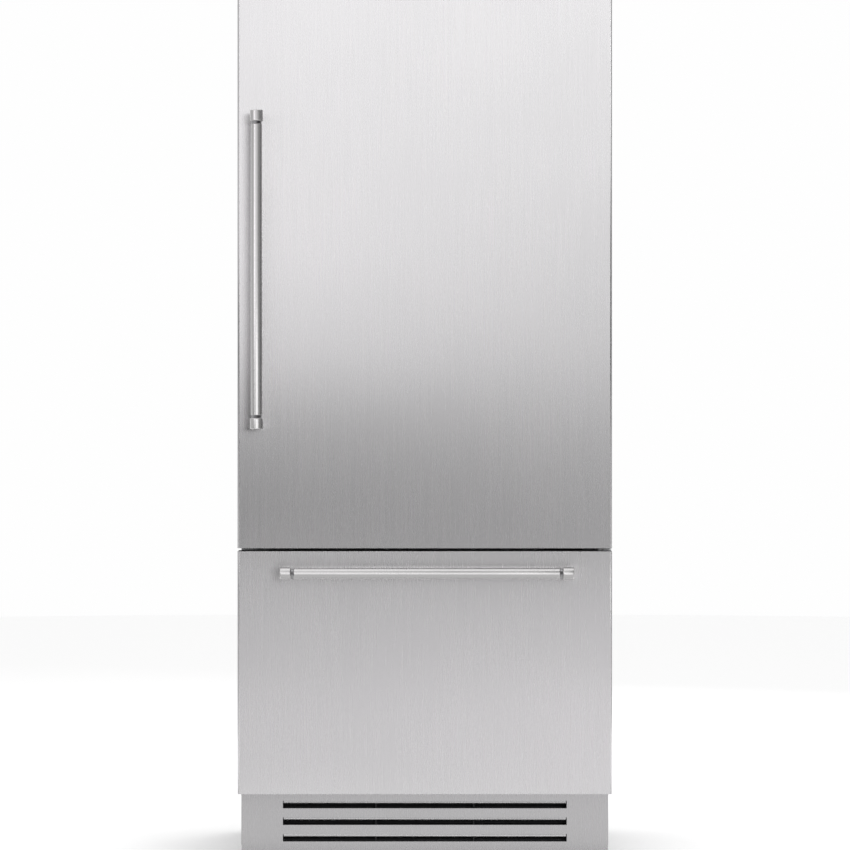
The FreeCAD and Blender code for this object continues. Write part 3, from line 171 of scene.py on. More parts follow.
def moulded(name, tone, rough, variation=0.03, **values):
    """Moulded plastic or rubber: a fine grain, and slight clouds in its colour and gloss."""
    shader = Shader(name)
    skin = shader.noise((MOULD_GRAIN,) * 3, detail=3.0)
    clouds = shader.noise((6.0,) * 3, detail=3.0)
    shader.colour(clouds, tone, 1 - variation, 1 + variation)
    shader.roughen(clouds, rough - MOULD_WEAR, rough + MOULD_WEAR)
    shader.bump(skin, MOULD_DEPTH)
    shader.set(**values)
    return shader.material


def painted(name, tone, rough):
    """Powder paint with its orange peel."""
    shader = Shader(name)
    peel = shader.noise((PEEL_SCALE,) * 3, detail=2.0)
    clouds = shader.noise((2.5,) * 3)
    shader.colour(clouds, tone, 0.96, 1.04)
    shader.roughen(peel, rough - PEEL_WEAR, rough + PEEL_WEAR)
    shader.bump(peel, PEEL_DEPTH)
    return shader.material


def galvanised(name, tone):
    """Zinc-coated sheet with its frosty spangle."""
    shader = Shader(name)
    cells = shader.node("TexVoronoi", Scale=1.0)
    shader.link(shader.place((SPANGLE_SCALE,) * 3), cells.inputs["Vector"])
    grey = shader.node("RGBToBW")
    shader.link(cells.outputs["Color"], grey.inputs["Color"])
    shader.colour(grey.outputs["Val"], tone, 0.86, 1.1)
    shader.roughen(grey.outputs["Val"], 0.32, 0.5)
    shader.bump(grey.outputs["Val"], SPANGLE_DEPTH)
    shader.set(Metallic=0.9)
    return shader.material


def clear(name, tone, rough, index):
    """Clear moulding or glass, with faint flow marks."""
    shader = Shader(name)
    flow = shader.noise((14.0, 14.0, 5.0), detail=2.0)
    shader.colour(flow, tone, 0.98, 1)
    shader.roughen(flow, rough, rough + FLOW_WEAR)
    shader.bump(flow, FLOW_DEPTH, FLOW_STRENGTH)
    shader.set(Transmission_Weight=1.0, IOR=index)
    return shader.material


def foamed(name, tone):
    """Rigid foam, cut to show its cells."""
    shader = Shader(name)
    cells = shader.node("TexVoronoi", Scale=1.0)
    shader.link(shader.place((FOAM_SCALE,) * 3), cells.inputs["Vector"])
    clouds = shader.noise((9.0,) * 3, detail=5.0)
    shader.colour(clouds, tone, 0.82, 1.05)
    shader.bump(cells.outputs["Distance"], FOAM_DEPTH)
    shader.set(Roughness=0.85)
    return shader.material


UPRIGHT_GRAIN = (900.0, 900.0, 7.0)
SHEET = {"anisotropic": 0.90, "contrast": 0.02, "metallic": 0.82}

# Name, colour, then grain for brushed steel, roughness, and refractive index for clear pieces
MATERIALS = {
    "panel_steel": brushed("panel_steel", (0.76, 0.75, 0.76), UPRIGHT_GRAIN, 0.27, **SHEET),
    "handle_steel": brushed("handle_steel", (0.78, 0.77, 0.77), (260.0,) * 3, 0.22, contrast=0.03),
    "grille_steel": brushed("grille_steel", (0.72, 0.71, 0.72), UPRIGHT_GRAIN, 0.27, **SHEET),
    "cabinet_paint": painted("cabinet_paint", (0.34, 0.34, 0.35), 0.42),
    "galvanised": galvanised("galvanised", (0.62, 0.64, 0.65)),
    "hinge_steel": brushed("hinge_steel", (0.52, 0.52, 0.53), (300.0, 40.0, 300.0), 0.34),
    "screw_steel": brushed("screw_steel", (0.66, 0.66, 0.67), (700.0,) * 3, 0.25),
    "liner_white": moulded("liner_white", (0.84, 0.855, 0.86), 0.24, variation=0.01),
    "foam_cream": foamed("foam_cream", (0.80, 0.70, 0.45)),
    "seal_grey": moulded("seal_grey", (0.055, 0.055, 0.06), 0.55, variation=0.12),
    "trim_grey": moulded("trim_grey", (0.22, 0.225, 0.235), 0.42, variation=0.04),
    "clear_bin": clear("clear_bin", (0.965, 0.98, 0.985), 0.06, 1.45),
    "shelf_glass": clear("shelf_glass", (0.94, 0.98, 0.965), 0.01, 1.5),
    "light_lens": moulded("light_lens", (0.92, 0.92, 0.90), 0.35, variation=0.01),
    "button_white": moulded("button_white", (0.72, 0.73, 0.74), 0.3, variation=0.02),
    "fin_aluminium": brushed("fin_aluminium", (0.74, 0.75, 0.76), (40.0, 40.0, 300.0), 0.3),
    "compressor_black": painted("compressor_black", (0.018, 0.018, 0.019), 0.3),
    "black_plastic": moulded("black_plastic", (0.034, 0.034, 0.036), 0.45, variation=0.12,
                             Specular_IOR_Level=0.4),
    "tube_black": painted("tube_black", (0.02, 0.02, 0.02), 0.35),
    "mount_rubber": moulded("mount_rubber", (0.03, 0.03, 0.03), 0.7, variation=0.2),
    "foot_plastic": moulded("foot_plastic", (0.03, 0.03, 0.032), 0.5, variation=0.15),
    "slide_steel": galvanised("slide_steel", (0.66, 0.67, 0.68)),
}

for part in frame["record"]["subparts"]:
    slots = nodes[part["node"]].material_slots
    slots[0].material = MATERIALS[part["material_slot"]]


# Edges: how far each node's edges are rounded over, in millimetres

ROUND_OVER = {"door_skin": 1.0, "drawer_skin": 1.0, "toe_grille": 0.6, "door_handle_bar": 0.3,
              "door_handle_mounts": 0.3, "drawer_handle_bar": 0.3, "drawer_handle_mounts": 0.3,
              "cabinet_shell": 0.9, "shelf_frames": 1.2, "control_fascia": 1.5, "crisper_left": 1.2,
              "crisper_right": 1.2, "door_bins": 1.2, "freezer_basket": 1.2, "freezer_tray": 1.0,
              "condenser_fan_frame": 1.5, "mains_inlet": 0.8}
FINE_EDGE = 0.4
EDGE_STEPS = 2
SHARP_ANGLE = math.radians(35)
FLAT_ANGLE = math.radians(0.6)
SAME_PLACE = 2e-6


def round_edges(item, width):
    """Rounds an object's sharp edges over by a width in millimetres."""
    edge = item.modifiers.new("edge", "BEVEL")
    edge.width = width * MM
    edge.segments = EDGE_STEPS
    edge.limit_method = "ANGLE"
    edge.angle_limit = SHARP_ANGLE
    edge.harden_normals = True
    edge.use_clamp_overlap = True


def soften(node, width):
    """Joins a node's triangles into whole faces, then rounds its edges over."""
    join = node.modifiers.new("join", "WELD")
    join.merge_threshold = SAME_PLACE
    faces = node.modifiers.new("faces", "DECIMATE")
    faces.decimate_type = "DISSOLVE"
    faces.angle_limit = FLAT_ANGLE
    round_edges(node, width)


for name, node in nodes.items():
    soften(node, ROUND_OVER.get(name, FINE_EDGE))


# Detail pieces: their places are in millimetres, in the shared frame

def finish_piece(name, body, slot, shape, edge=0.0, stands_for=()):
    """Turns a shape into a piece that rides on a body and has a slot's finish."""
    bmesh.ops.recalc_face_normals(shape, faces=shape.faces)
    bmesh.ops.scale(shape, vec=(MM, MM, MM), verts=shape.verts)
    mesh = bpy.data.meshes.new(name)
    shape.to_mesh(mesh)
    shape.free()
    mesh.materials.append(MATERIALS[slot])
    mesh.shade_smooth()
    mesh.set_sharp_from_angle(angle=SHARP_ANGLE)
    item = bpy.data.objects.new(name, mesh)
    scene.collection.objects.link(item)
    if edge:
        round_edges(item, edge)
    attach(item, body)
    if stands_for:
        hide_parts(*stands_for)


def shifted(outline, rise, across=0):
    """An outline moved along its second and its first coordinate."""
    return [(u + across, v + rise) for u, v in outline]


def spot(axis, u, v, w):
    """The point w along an axis, and u, v along the other two in their own order."""
    return {"X": (w, u, v), "Y": (u, w, v), "Z": (u, v, w)}[axis]


def add_prism(shape, axis, outline, low, high):
    """An outline carried along an axis from low to high."""
    ends = [[shape.verts.new(spot(axis, u, v, w)) for u, v in outline] for w in (low, high)]
    for end in ends:
        shape.faces.new(end)
    count = len(outline)
    for i in range(count):
        j = (i + 1) % count
        shape.faces.new((ends[0][i], ends[0][j], ends[1][j], ends[1][i]))


def add_block(shape, x, y, z):
    """A box between pairs of limits."""
    add_prism(shape, "Z", [(x[0], y[0]), (x[1], y[0]), (x[1], y[1]), (x[0], y[1])], *z)


def add_turned(shape, axis, middle, profile, steps=24):
    """A closed profile of radius and height pairs, turned about an axis through a middle point."""
    centre = Vector(middle)
    turns = [2 * math.pi * i / steps for i in range(steps)]
    rings = []
    for radius, height in profile:
        around = [(radius * math.cos(a), radius * math.sin(a)) for a in turns] if radius else [(0, 0)]
        rings.append([shape.verts.new(centre + Vector(spot(axis, u, v, height))) for u, v in around])
    closed = all(radius for radius, height in profile)
    for k in range(len(rings) - (0 if closed else 1)):
        a, b = rings[k], rings[(k + 1) % len(rings)]
        for i in range(steps):
            j = (i + 1) % steps
            corners = [a[i % len(a)], a[j % len(a)], b[j % len(b)], b[i % len(b)]]
            unique = list(dict.fromkeys(corners))
            if len(unique) > 2:
                shape.faces.new(unique)


def make_strip(name, body, slot, axis, outline, low, high, edge):
    """A piece that is one outline carried along an axis."""
    shape = bmesh.new()
    add_prism(shape, axis, outline, low, high)
    finish_piece(name, body, slot, shape, edge)


CORNER_STEPS = 6


def add_frame_sweep(shape, profile, half, low, high, corner):
    """A profile of outward and y pairs, carried round a rectangle with rounded corners."""
    loops = []
    centres = ((half - corner, high - corner), (corner - half, high - corner),
               (corner - half, low + corner), (half - corner, low + corner))
    for k, (x, z) in enumerate(centres):
        for i in range(CORNER_STEPS + 1):
            a = math.pi / 2 * (k + i / CORNER_STEPS)
            out = Vector((math.cos(a), 0, math.sin(a)))
            loops.append([shape.verts.new(Vector((x, y, z)) + out * (corner + u)) for u, y in profile])
    count = len(profile)
    for k, loop in enumerate(loops):
        after = loops[(k + 1) % len(loops)]
        for i in range(count):
            j = (i + 1) % count
            shape.faces.new((loop[i], loop[j], after[j], after[i]))


SEAL_PROFILE = ((-8, 0), (-8, 1.6), (-5.2, 2.2), (-3.8, 3.4), (-3.4, 4.6), (-5.4, 5.8), (-7.4, 7.0),
                (-8, 8.8), (-7.4, 10.8), (-5.6, 11.7), (5.6, 11.7), (7.4, 10.8), (8, 8.8), (7.0, 7.0),
                (4.6, 5.8), (2.6, 4.6), (3.0, 3.4), (4.8, 2.2), (8, 1.6), (8, 0))
SEAL_HALF = 8
SEAL_CORNER = 10


def make_seals():
    """Magnetic seals with a folded bellows between the base and the magnet's pocket."""
    for name, body in (("door", "fridge_door"), ("drawer", "freezer_drawer")):
        low, high = (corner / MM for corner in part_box(f"{name}_gasket"))
        shape = bmesh.new()
        add_frame_sweep(shape, shifted(SEAL_PROFILE, low.y), high.x - SEAL_HALF, low.z + SEAL_HALF,
                        high.z - SEAL_HALF, SEAL_CORNER)
        finish_piece(f"{name}_seal", body, "seal_grey", shape, stands_for=(f"{name}_gasket",))


def make_baffle():
    """Angled blades behind the toe grille, which let air through and hide the machine room."""
    blade = [(-240, 0), (-238.6, 0), (-221, 13), (-222.4, 13)]
    half, pitch, rear = 294, 9, -219
    ends, between, wide = (-296, 293), (-99.5, 96.5), 3
    shape = bmesh.new()
    for z in range(34, 124, pitch):
        add_prism(shape, "X", shifted(blade, z), -half, half)
    for x in ends + between:
        add_block(shape, (x, x + wide), (-241, rear), (32, 130))
    for x in ends:
        add_block(shape, (x, x + wide), (-253.5, rear), (36, 126))
    finish_piece("grille_baffle", "cabinet", "black_plastic", shape, 0.3)


def make_gap_pieces():
    """What shows in the gap between the fronts: the hinge's end cap, a shroud and a small buffer."""
    edge = PANEL[1].x / MM - 0.4
    cap = [(346, -254), (349, -257), (edge - 4, -257), (edge, -253), (edge, -200), (346, -200)]
    make_strip("middle_hinge_cap", "cabinet", "button_white", "Z", cap, 625.6, 630.4, 0.6)
    shroud = [(-197.5, 617), (-201, 617), (-203, 620), (-203, 636), (-201, 639), (-197.5, 639)]
    make_strip("hinge_shroud", "cabinet", "black_plastic", "X", shroud, 241, 317, 0.6)
    buffer = [(-197.5, 618), (-203, 620), (-204, 628), (-203, 636), (-197.5, 638)]
    make_strip("rail_buffer", "cabinet", "button_white", "X", buffer, 220.5, 224, 0.5)


def make_handle_details():
    """Rings of darker steel between bars and caps, whose darkness is partly painted shade for the
    groove there, and a grub screw in each post.
    """
    ring = [(8.6, -2.9), (9.6, -2.9), (10.1, -2.2), (10.1, 2.2), (9.6, 2.9), (8.6, 2.9)]
    screw = [(0, 0.4), (1.4, 0.4), (1.5, 1.2), (2.3, 1.2), (2.6, 0.8), (2.6, -1.0), (0, -1.0)]
    bar_behind, ring_inside, screw_inside, screw_y, post_half = 13.2, 25, 11, -293, 7.6
    for name, body, axis, along, side, sense in (("door", "fridge_door", "Z", 2, "X", 1),
                                                 ("drawer", "freezer_drawer", "X", 0, "Z", -1)):
        low, high = (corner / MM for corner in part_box(f"{name}_handle_mounts"))
        middle = (low + high) / 2
        middle.y = low.y + bar_behind
        rings = bmesh.new()
        screws = bmesh.new()
        for end, sign in ((low[along], 1), (high[along], -1)):
            place = middle.copy()
            place[along] = end + sign * ring_inside
            add_turned(rings, axis, place, ring, 48)
            place[along] = end + sign * screw_inside
            place.y = screw_y
            place[2 - along] += sense * post_half
            add_turned(screws, side, place, [(r, sense * h) for r, h in screw])
        # The rings' darker steel is partly painted shade, standing in for the shadow in the groove
        # between bar and cap.
        finish_piece(f"{name}_handle_rings", body, "hinge_steel", rings)
        finish_piece(f"{name}_handle_screws", body, "screw_steel", screws)


def make_trims():
    """Edge trims on the bins, shelves, crispers and freezer basket."""
    bin_tops = (1055, 1335, 1615)
    shelf_levels = range(905, 1700, 260)
    low, high = (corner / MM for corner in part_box("door_bins"))
    shape = bmesh.new()
    section = [(-118.4, -6), (-118.4, 1), (-117.2, 2.4), (-113.8, 2.4), (-112.6, 1), (-112.6, -8),
               (-114, -8), (-114, 0), (-117, 0), (-117, -6)]
    for top in bin_tops:
        add_prism(shape, "X", shifted(section, top), low.x + 3.4, high.x - 3.4)
    finish_piece("bin_trims", "fridge_door", "trim_grey", shape, 0.4)
    shape = bmesh.new()
    section = [(-77, -1), (-81, -1), (-84, 2), (-85, 7), (-84, 12), (-81, 15), (-77, 15)]
    for level in shelf_levels:
        add_prism(shape, "X", shifted(section, level), -313, 313)
    finish_piece("shelf_trims", "cabinet", "button_white", shape, 0.5)
    section = [(-82, 879), (-82, 886), (-80.6, 887.4), (-77.4, 887.4), (-76, 886), (-76, 879),
               (-77, 879), (-77, 885.3), (-80, 885.3), (-80, 879)]
    for name in ("left", "right"):
        low, high = (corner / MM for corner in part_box(f"crisper_{name}"))
        make_strip(f"crisper_trim_{name}", f"crisper_{name}", "trim_grey", "X", section,
                   low.x + 2, high.x - 2, 0.3)
    section = [(-191.4, 394), (-191.4, 401.6), (-190.2, 402.8), (-187.4, 402.8), (-186.6, 401.6),
               (-186.6, 400), (-190, 400), (-190, 394)]
    make_strip("basket_trim", "freezer_drawer", "trim_grey", "X", section, -294, 294, 0.3)


def make_control_details():
    """A blank display and two rows of lenses on the fascia, and ribs under the light's lens."""
    fascia, lens_pitch, rib_pitch = -119, 7, 12
    window = [(-22, 1952), (-24, 1954), (-24, 1968), (-22, 1970), (22, 1970), (24, 1968),
              (24, 1954), (22, 1952)]
    make_strip("display_window", "cabinet", "black_plastic", "Y", window, -120.6, fascia, 0.4)
    shape = bmesh.new()
    for middle in (-48, 48):
        for i in range(-2, 3):
            x = middle + i * lens_pitch
            add_block(shape, (x - 2.2, x + 2.2), (-120.5, fascia), (1976.2, 1978))
    finish_piece("indicator_lenses", "cabinet", "light_lens", shape, 0.3)
    shape = bmesh.new()
    for x in range(-96, 97, rib_pitch):
        add_prism(shape, "Y", [(x - 2, 1976.2), (x, 1974.6), (x + 2, 1976.2)], 20, 130)
    finish_piece("lens_ribs", "cabinet", "light_lens", shape)


def make_back_details():
    """Pressed ribs and screws on the back, and a hood over each slot of the cover."""
    low, high = (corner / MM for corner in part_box("back_panel"))
    back = high.y
    rib_pitch, rib_half, rib_end = 130, 13, 130
    shape = bmesh.new()
    for x in range(-260, 261, rib_pitch):
        add_block(shape, (x - rib_half, x + rib_half), (back - 0.5, back + 1.6),
                  (low.z + rib_end, high.z - rib_end))
    finish_piece("back_ribs", "cabinet", "cabinet_paint", shape, 1.4)
    slot_rows, first_slot, slot_pitch, column_pitch, hood_half = 11, 86, 18, 116, 46
    hood = [(-0.4, 2.4), (2.2, -0.6), (2.6, -3.4), (1.9, -3.4), (1.5, -0.9), (-0.4, 1.3)]
    shape = bmesh.new()
    for row in range(slot_rows):
        section = shifted(hood, first_slot + slot_pitch * row, back)
        for column in range(-2, 3):
            x = column * column_pitch
            add_prism(shape, "X", section, x - hood_half, x + hood_half)
    finish_piece("cover_hoods", "cabinet", "cabinet_paint", shape)
    shape = bmesh.new()
    head = [(0, 1.2), (1.3, 1.2), (1.5, 2.0), (2.6, 2.0), (3.7, 1.2), (4.1, 0), (4.1, -0.4), (0, -0.4)]
    side_heights = (*range(318, 2030, 212), 62, 172, 286)
    row_heights = (308, 2026, 292, 54)
    places = [(x, z) for z in side_heights for x in (-361, 361)]
    places += [(x, z) for x in range(-240, 241, 120) for z in row_heights]
    for x, z in places:
        add_turned(shape, "Y", (x, back, z), head, 16)
    finish_piece("back_screws", "cabinet", "screw_steel", shape)


def make_tube(name, radius, points):
    """A refrigerant tube through a few points, with smooth bends."""
    curve = bpy.data.curves.new(name, "CURVE")
    curve.dimensions = "3D"
    curve.bevel_depth = radius * MM
    curve.bevel_resolution = 4
    curve.resolution_u = 6
    curve.use_fill_caps = True
    line = curve.splines.new("NURBS")
    line.points.add(len(points) - 1)
    for point, place in zip(line.points, points):
        point.co = (*(Vector(place) * MM), 1)
    line.order_u = 3
    line.use_endpoint_u = True
    curve.materials.append(MATERIALS["tube_black"])
    tube = bpy.data.objects.new(name, curve)
    scene.collection.objects.link(tube)
    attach(tube, "cabinet")


def make_machine_room_details():
    """The compressor's relay box, its two tubes, and the drain down to the drip tray."""
    shape = bmesh.new()
    add_block(shape, (124, 146), (178, 232), (84, 146))
    add_block(shape, (121, 125), (174, 236), (80, 150))
    add_block(shape, (119.4, 126), (198, 212), (76, 154))
    finish_piece("relay_box", "cabinet", "black_plastic", shape, 1.6)
    make_tube("suction_tube", 4.0, [(186, 160, 150), (186, 150, 200), (184, 140, 236), (150, 132, 244),
                                    (40, 126, 246), (-120, 118, 250), (-190, 112, 262),
                                    (-200, 110, 300)])
    make_tube("discharge_tube", 3.0, [(160, 236, 150), (150, 244, 190), (130, 250, 214), (80, 252, 220),
                                      (-60, 254, 222), (-220, 252, 226), (-270, 244, 232),
                                      (-300, 230, 236)])
    shape = bmesh.new()
    valley, crest, fold_pitch = 7.2, 8.8, 9
    folds = [(0, 64), (7, 64)]
    for z in range(66, 292, fold_pitch):
        folds += [(valley, z), (crest, z + 3), (crest, z + 5), (valley, z + 8)]
    add_turned(shape, "Z", (-225, 200, 0), folds + [(valley, 301), (0, 301)])
    finish_piece("drain_tube", "cabinet", "foot_plastic", shape)


for make in (make_seals, make_baffle, make_gap_pieces, make_handle_details, make_trims,
             make_control_details, make_back_details, make_machine_room_details):
    make()


# The studio

BACKDROP = 0.992
AMBIENT = 0.55


def make_world():
    """White where the camera or a reflection sees it, and a plain level elsewhere."""
    world = bpy.data.worlds.new("studio")
    scene.world = world
    world.use_nodes = True
    tree = world.node_tree
    tree.nodes.clear()
    path = tree.nodes.new("ShaderNodeLightPath")
    seen = tree.nodes.new("ShaderNodeMath")
    seen.operation = "ADD"
    also = tree.nodes.new("ShaderNodeMath")
    also.operation = "ADD"
    also.use_clamp = True
    tree.links.new(path.outputs["Is Camera Ray"], seen.inputs[0])
    tree.links.new(path.outputs["Is Glossy Ray"], seen.inputs[1])
    tree.links.new(seen.outputs[0], also.inputs[0])
    tree.links.new(path.outputs["Is Transmission Ray"], also.inputs[1])
    level = tree.nodes.new("ShaderNodeMapRange")
    tree.links.new(also.outputs[0], level.inputs["Value"])
    level.inputs["To Min"].default_value = AMBIENT
    level.inputs["To Max"].default_value = BACKDROP
    light = tree.nodes.new("ShaderNodeBackground")
    light.inputs["Color"].default_value = (1, 1, 1, 1)
    tree.links.new(level.outputs["Result"], light.inputs["Strength"])
    out = tree.nodes.new("ShaderNodeOutputWorld")
    tree.links.new(light.outputs[0], out.inputs["Surface"])


FLOOR_RADIUS = 9.0
FLOOR_SIDES = 48
FLOOR_GLOW = 0.46
FLOOR_SHADE_REACH = 0.7


def make_floor():
    """A pale round floor with a glow that keeps it white, and painted shade: the glow fades where
    something stands close over it.
    """
    mesh = bpy.data.meshes.new("floor")
    shape = bmesh.new()
    bmesh.ops.create_circle(shape, cap_ends=True, segments=FLOOR_SIDES, radius=FLOOR_RADIUS)
    shape.to_mesh(mesh)
    shape.free()
    floor = bpy.data.objects.new("floor", mesh)
    scene.collection.objects.link(floor)
    shader = Shader("floor")
    shader.set(Base_Color=(0.86, 0.86, 0.86, 1), Roughness=0.95, Specular_IOR_Level=0.1)
    # Painted shade: ambient occlusion dims the floor's glow under and around what stands on it, as a
    # painted contact shadow.
    painted_shade_ao = shader.node("AmbientOcclusion", Distance=FLOOR_SHADE_REACH)
    shader.link(painted_shade_ao.outputs["AO"], shader.surface.inputs["Emission Strength"])
    path = shader.node("LightPath")
    seen = shader.node("Math", operation="ADD", use_clamp=True)
    shader.link(path.outputs["Is Camera Ray"], seen.inputs[0])
    shader.link(path.outputs["Is Glossy Ray"], seen.inputs[1])
    glow = shader.tint(seen.outputs[0], (0, 0, 0), (FLOOR_GLOW,) * 3)
    shader.link(glow, shader.surface.inputs["Emission Color"])
    mesh.materials.append(shader.material)
    shader.material.cycles.emission_sampling = "NONE"


CARD_RADIUS = 1.9
CARD_CENTRE_Y = 0.1
CARD_HALF_TURN = math.radians(62)
CARD_STEPS = 40
CARD_TALL = 3.4
CARD_REACH = 1.2
LEAN_LIMIT = 2
# Height in metres, brightness, and how much brighter it is a metre further right
CARD_TONES = ((0.0, 0.48, 0.30), (0.20, 0.49, 0.30), (0.32, 0.35, 0.24), (0.43, 0.30, 0.14),
              (0.52, 0.16, 0.14), (0.61, 0.03, 0.0), (0.70, 0.0, 0.0), (0.79, 0.0, 0.0),
              (0.86, 0.02, -0.5), (0.94, 0.10, -0.9), (1.03, 0.24, -1.4), (1.16, 0.24, -1.7),
              (1.30, 0.25, -1.8), (1.62, 0.19, -1.8), (1.90, 0.18, -1.8), (2.6, 0.18, -1.8))
CARD_TINT = (1.0, 0.955, 1.0)

SIDE_FLAG_X = 1.25
SIDE_FLAG_FRONT = -0.9
SIDE_FLAG_TALL = 2.2
# Name, side, y of its rear edge, brightness
SIDE_FLAGS = (("left", -1, 0.5, 0.5), ("right", 1, -0.1, 0.1))
FLOOR_FLAG_LIFT = 0.004
# Name, y of its near and its far edge, half width, brightness
FLOOR_FLAGS = (("low", -0.33, -0.50, 0.6, 0.42), ("floor", -0.50, -1.95, 1.3, 0.56))


def reflection_card(name, corners, faces, shader):
    """A surface that only reflections see."""
    mesh = bpy.data.meshes.new(name)
    mesh.from_pydata(corners, [], faces)
    mesh.materials.append(shader.material)
    card = bpy.data.objects.new(name, mesh)
    scene.collection.objects.link(card)
    card.visible_camera = False
    card.visible_diffuse = False
    card.visible_transmission = False
    card.visible_shadow = False
    card.visible_volume_scatter = False


def standing_sheet(name, outline, low, high, shader):
    """A standing card that only reflections see."""
    corners = [(x, y, z) for z in (low, high) for x, y in outline]
    count = len(outline)
    faces = [(i, i + 1, i + 1 + count, i + count) for i in range(count - 1)]
    reflection_card(name, corners, faces, shader)


def glowing(name, strength):
    """A plain emission that isn't sampled as a lamp."""
    shader = Shader(name)
    shader.surface = shader.node("Emission", Strength=strength, Color=(1, 1, 1, 1))
    shader.link(shader.surface.outputs[0], shader.tree.nodes["Material Output"].inputs["Surface"])
    shader.material.cycles.emission_sampling = "NONE"
    return shader


def ramp(shader, factor, stops):
    """A number that follows places and values along a ramp."""
    table = shader.node("ValToRGB")
    shader.link(factor, table.inputs["Fac"])
    elements = table.color_ramp.elements
    while len(elements) < len(stops):
        elements.new(1.0)
    for element, (place, value) in zip(elements, stops):
        element.position = place
        element.color = (value, value, value, 1)
    return table.outputs["Color"]


def make_gradient_card():
    """A curved card before the fronts, with a brightness for each height and a lean to one side."""
    shader = glowing("gradient_card", 1.0)
    split = shader.node("SeparateXYZ")
    shader.link(shader.node("TexCoord").outputs["Object"], split.inputs["Vector"])
    height = shader.between(split.outputs["Z"], 0, 1, 0, CARD_TALL)
    level = ramp(shader, height, [(z / CARD_TALL, tone) for z, tone, lean in CARD_TONES])
    # A ramp holds 0 to 1, so each lean goes through it as a share of the leans' range
    shares = [(z / CARD_TALL, lean / (2 * LEAN_LIMIT) + 0.5) for z, tone, lean in CARD_TONES]
    lean = shader.between(ramp(shader, height, shares), -LEAN_LIMIT, LEAN_LIMIT, 0, 1)
    tilt = shader.node("Math", operation="MULTIPLY_ADD")
    shader.link(shader.between(split.outputs["X"], -CARD_REACH, CARD_REACH, -CARD_REACH, CARD_REACH),
                tilt.inputs[0])
    shader.link(lean, tilt.inputs[1])
    tilt.inputs[2].default_value = 1.0
    share = shader.node("Math", operation="MAXIMUM")
    shader.link(tilt.outputs[0], share.inputs[0])
    share.inputs[1].default_value = 0.0
    total = shader.node("Math", operation="MULTIPLY")
    shader.link(level, total.inputs[0])
    shader.link(share.outputs[0], total.inputs[1])
    shader.link(total.outputs[0], shader.surface.inputs["Strength"])
    tint = shader.tint(total.outputs[0], (1.0, 1.0, 1.0), CARD_TINT)
    shader.link(tint, shader.surface.inputs["Color"])
    turns = [CARD_HALF_TURN * (2 * i / CARD_STEPS - 1) for i in range(CARD_STEPS + 1)]
    outline = [(CARD_RADIUS * math.sin(a), CARD_CENTRE_Y - CARD_RADIUS * math.cos(a)) for a in turns]
    standing_sheet("gradient_card", outline, 0.0, CARD_TALL, shader)


def make_flags():
    """Plain cards beside the fronts, and on the floor before them."""
    for name, side, rear, level in SIDE_FLAGS:
        x = side * SIDE_FLAG_X
        standing_sheet(f"{name}_flag", [(x, SIDE_FLAG_FRONT), (x, rear)], 0.0, SIDE_FLAG_TALL,
                       glowing(f"{name}_flag", level))
    for name, near, far, half, level in FLOOR_FLAGS:
        corners = [(-half, far), (half, far), (half, near), (-half, near)]
        reflection_card(f"{name}_flag", [(x, y, FLOOR_FLAG_LIFT) for x, y in corners], [(0, 1, 2, 3)],
                        glowing(f"{name}_flag", level))


def group(name, members, state="INCLUDE"):
    """A collection outside the scene, for lamps that light only some pieces, or all but them."""
    collection = bpy.data.collections.new(name)
    for member in members:
        collection.objects.link(nodes[member])
    for item in collection.collection_objects:
        item.light_linking.link_state = state
    return collection


def add_lamp(name, place, target, width, height, power, receivers, glossy=False):
    """A soft rectangular lamp that lights a group of pieces."""
    data = bpy.data.lights.new(name, "AREA")
    data.shape = "RECTANGLE"
    data.size = width
    data.size_y = height
    data.energy = power
    lamp = bpy.data.objects.new(name, data)
    scene.collection.objects.link(lamp)
    lamp.location = place
    lamp.rotation_euler = (Vector(target) - Vector(place)).to_track_quat("-Z", "Y").to_euler()
    lamp.visible_camera = False
    lamp.visible_glossy = glossy
    lamp.light_linking.receiver_collection = receivers


def add_sun(name, right, rise, wide, power, receivers, blockers):
    """A wide sun that lights one group of pieces, with shadows from another. Angles in degrees."""
    data = bpy.data.lights.new(name, "SUN")
    data.energy = power
    data.angle = math.radians(wide)
    sun = bpy.data.objects.new(name, data)
    scene.collection.objects.link(sun)
    right, rise = math.radians(right), math.radians(rise)
    aim = Vector((-math.sin(right), math.cos(right), -math.tan(rise)))
    sun.rotation_euler = aim.to_track_quat("-Z", "Y").to_euler()
    sun.light_linking.receiver_collection = receivers
    sun.light_linking.blocker_collection = blockers


# The camera's field is PHOTO_WIDE across at the fronts, CAMERA_BACK in front of them
PHOTO_WIDE = 1.6961
CAMERA_BACK = 7.0
CAMERA_X = 0.0004
CAMERA_Z = 0.877
SENSOR = 36.0


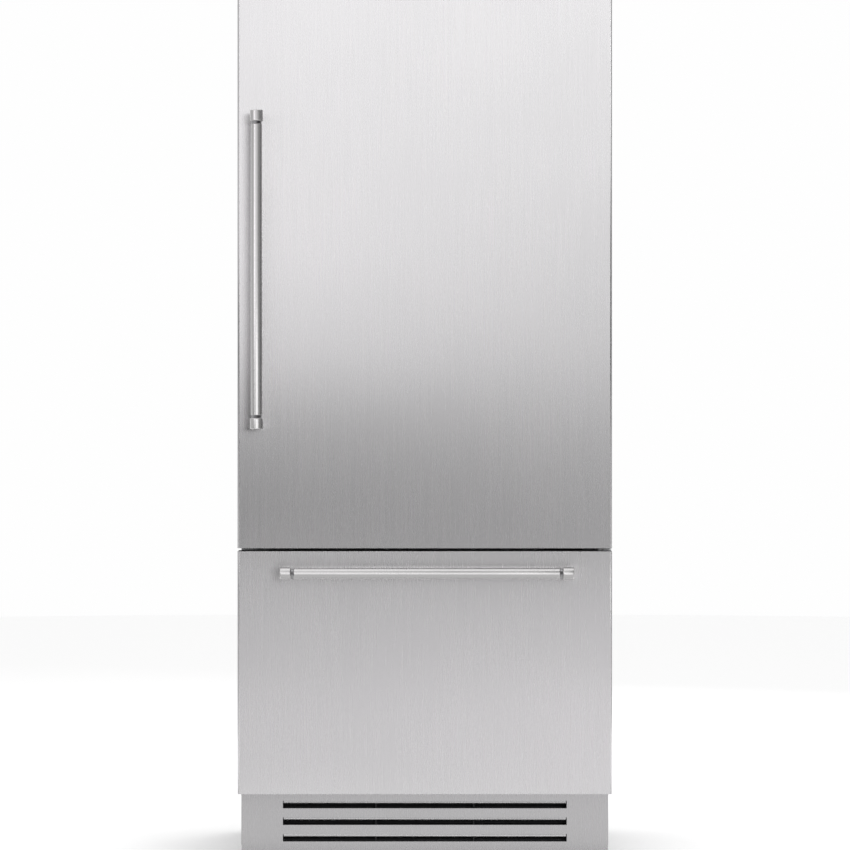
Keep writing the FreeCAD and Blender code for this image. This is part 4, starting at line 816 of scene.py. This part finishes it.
def make_camera():
    """Level with the door's lower part, with the photograph's crop at its top and foot."""
    data = bpy.data.cameras.new("camera")
    data.sensor_width = SENSOR
    data.lens = SENSOR * CAMERA_BACK / PHOTO_WIDE
    camera = bpy.data.objects.new("camera", data)
    scene.collection.objects.link(camera)
    camera.location = (CAMERA_X, FRONT - CAMERA_BACK, CAMERA_Z)
    camera.rotation_euler = (math.radians(90), 0, 0)
    scene.camera = camera


FRONTS = ("door_skin", "drawer_skin", "toe_grille")
HANDLES = ("door_handle_bar", "door_handle_mounts", "drawer_handle_bar", "drawer_handle_mounts")

# Name, place, point that it faces, width, height, watts
GENERAL_LAMPS = (("key", (1.6, -3.2, 1.4), (0, 0, 0.9), 1.0, 1.4, 32),
                 ("top", (-0.6, -2.2, 3.4), (0, 0, 1.2), 2.4, 1.6, 32),
                 ("rear", (1.4, 3.2, 2.4), (0, 0.2, 1.0), 2.0, 2.0, 45))
# Name, place, width, height, watts
HANDLE_LAMPS = (("handle_fill", (-0.1, -1.7, 0.7), 2.2, 0.75, 4.0),
                ("handle_panel", (-0.25, -1.05, 1.35), 1.25, 1.3, 2.0),
                ("handle_right", (0.55, -0.8, 1.3), 0.8, 1.6, 1.0),
                ("handle_edge", (-0.95, -1.05, 1.3), 0.25, 1.6, 0.7))
INWARD = 0.2


def make_lamps():
    """General lamps for all but the fronts, suns for the fronts, and lamps for the handles."""
    fronts = group("steel_fronts", FRONTS)
    handles = group("handles", HANDLES)
    drawer = group("drawer_front", ("drawer_skin",))
    others = group("all_but_fronts", FRONTS, "EXCLUDE")
    for lamp in GENERAL_LAMPS:
        add_lamp(*lamp, others)
    add_sun("door_key", 16, 11, 24, 0.63, fronts, handles)
    add_sun("drawer_key", 8, -16, 26, 0.42, drawer, handles)
    for name, place, width, height, power in HANDLE_LAMPS:
        target = (place[0] * INWARD, 0, place[2])
        add_lamp(name, place, target, width, height, power, handles, glossy=True)


make_world()
make_floor()
make_gradient_card()
make_flags()
make_camera()
make_lamps()

scene.view_settings.view_transform = "Standard"
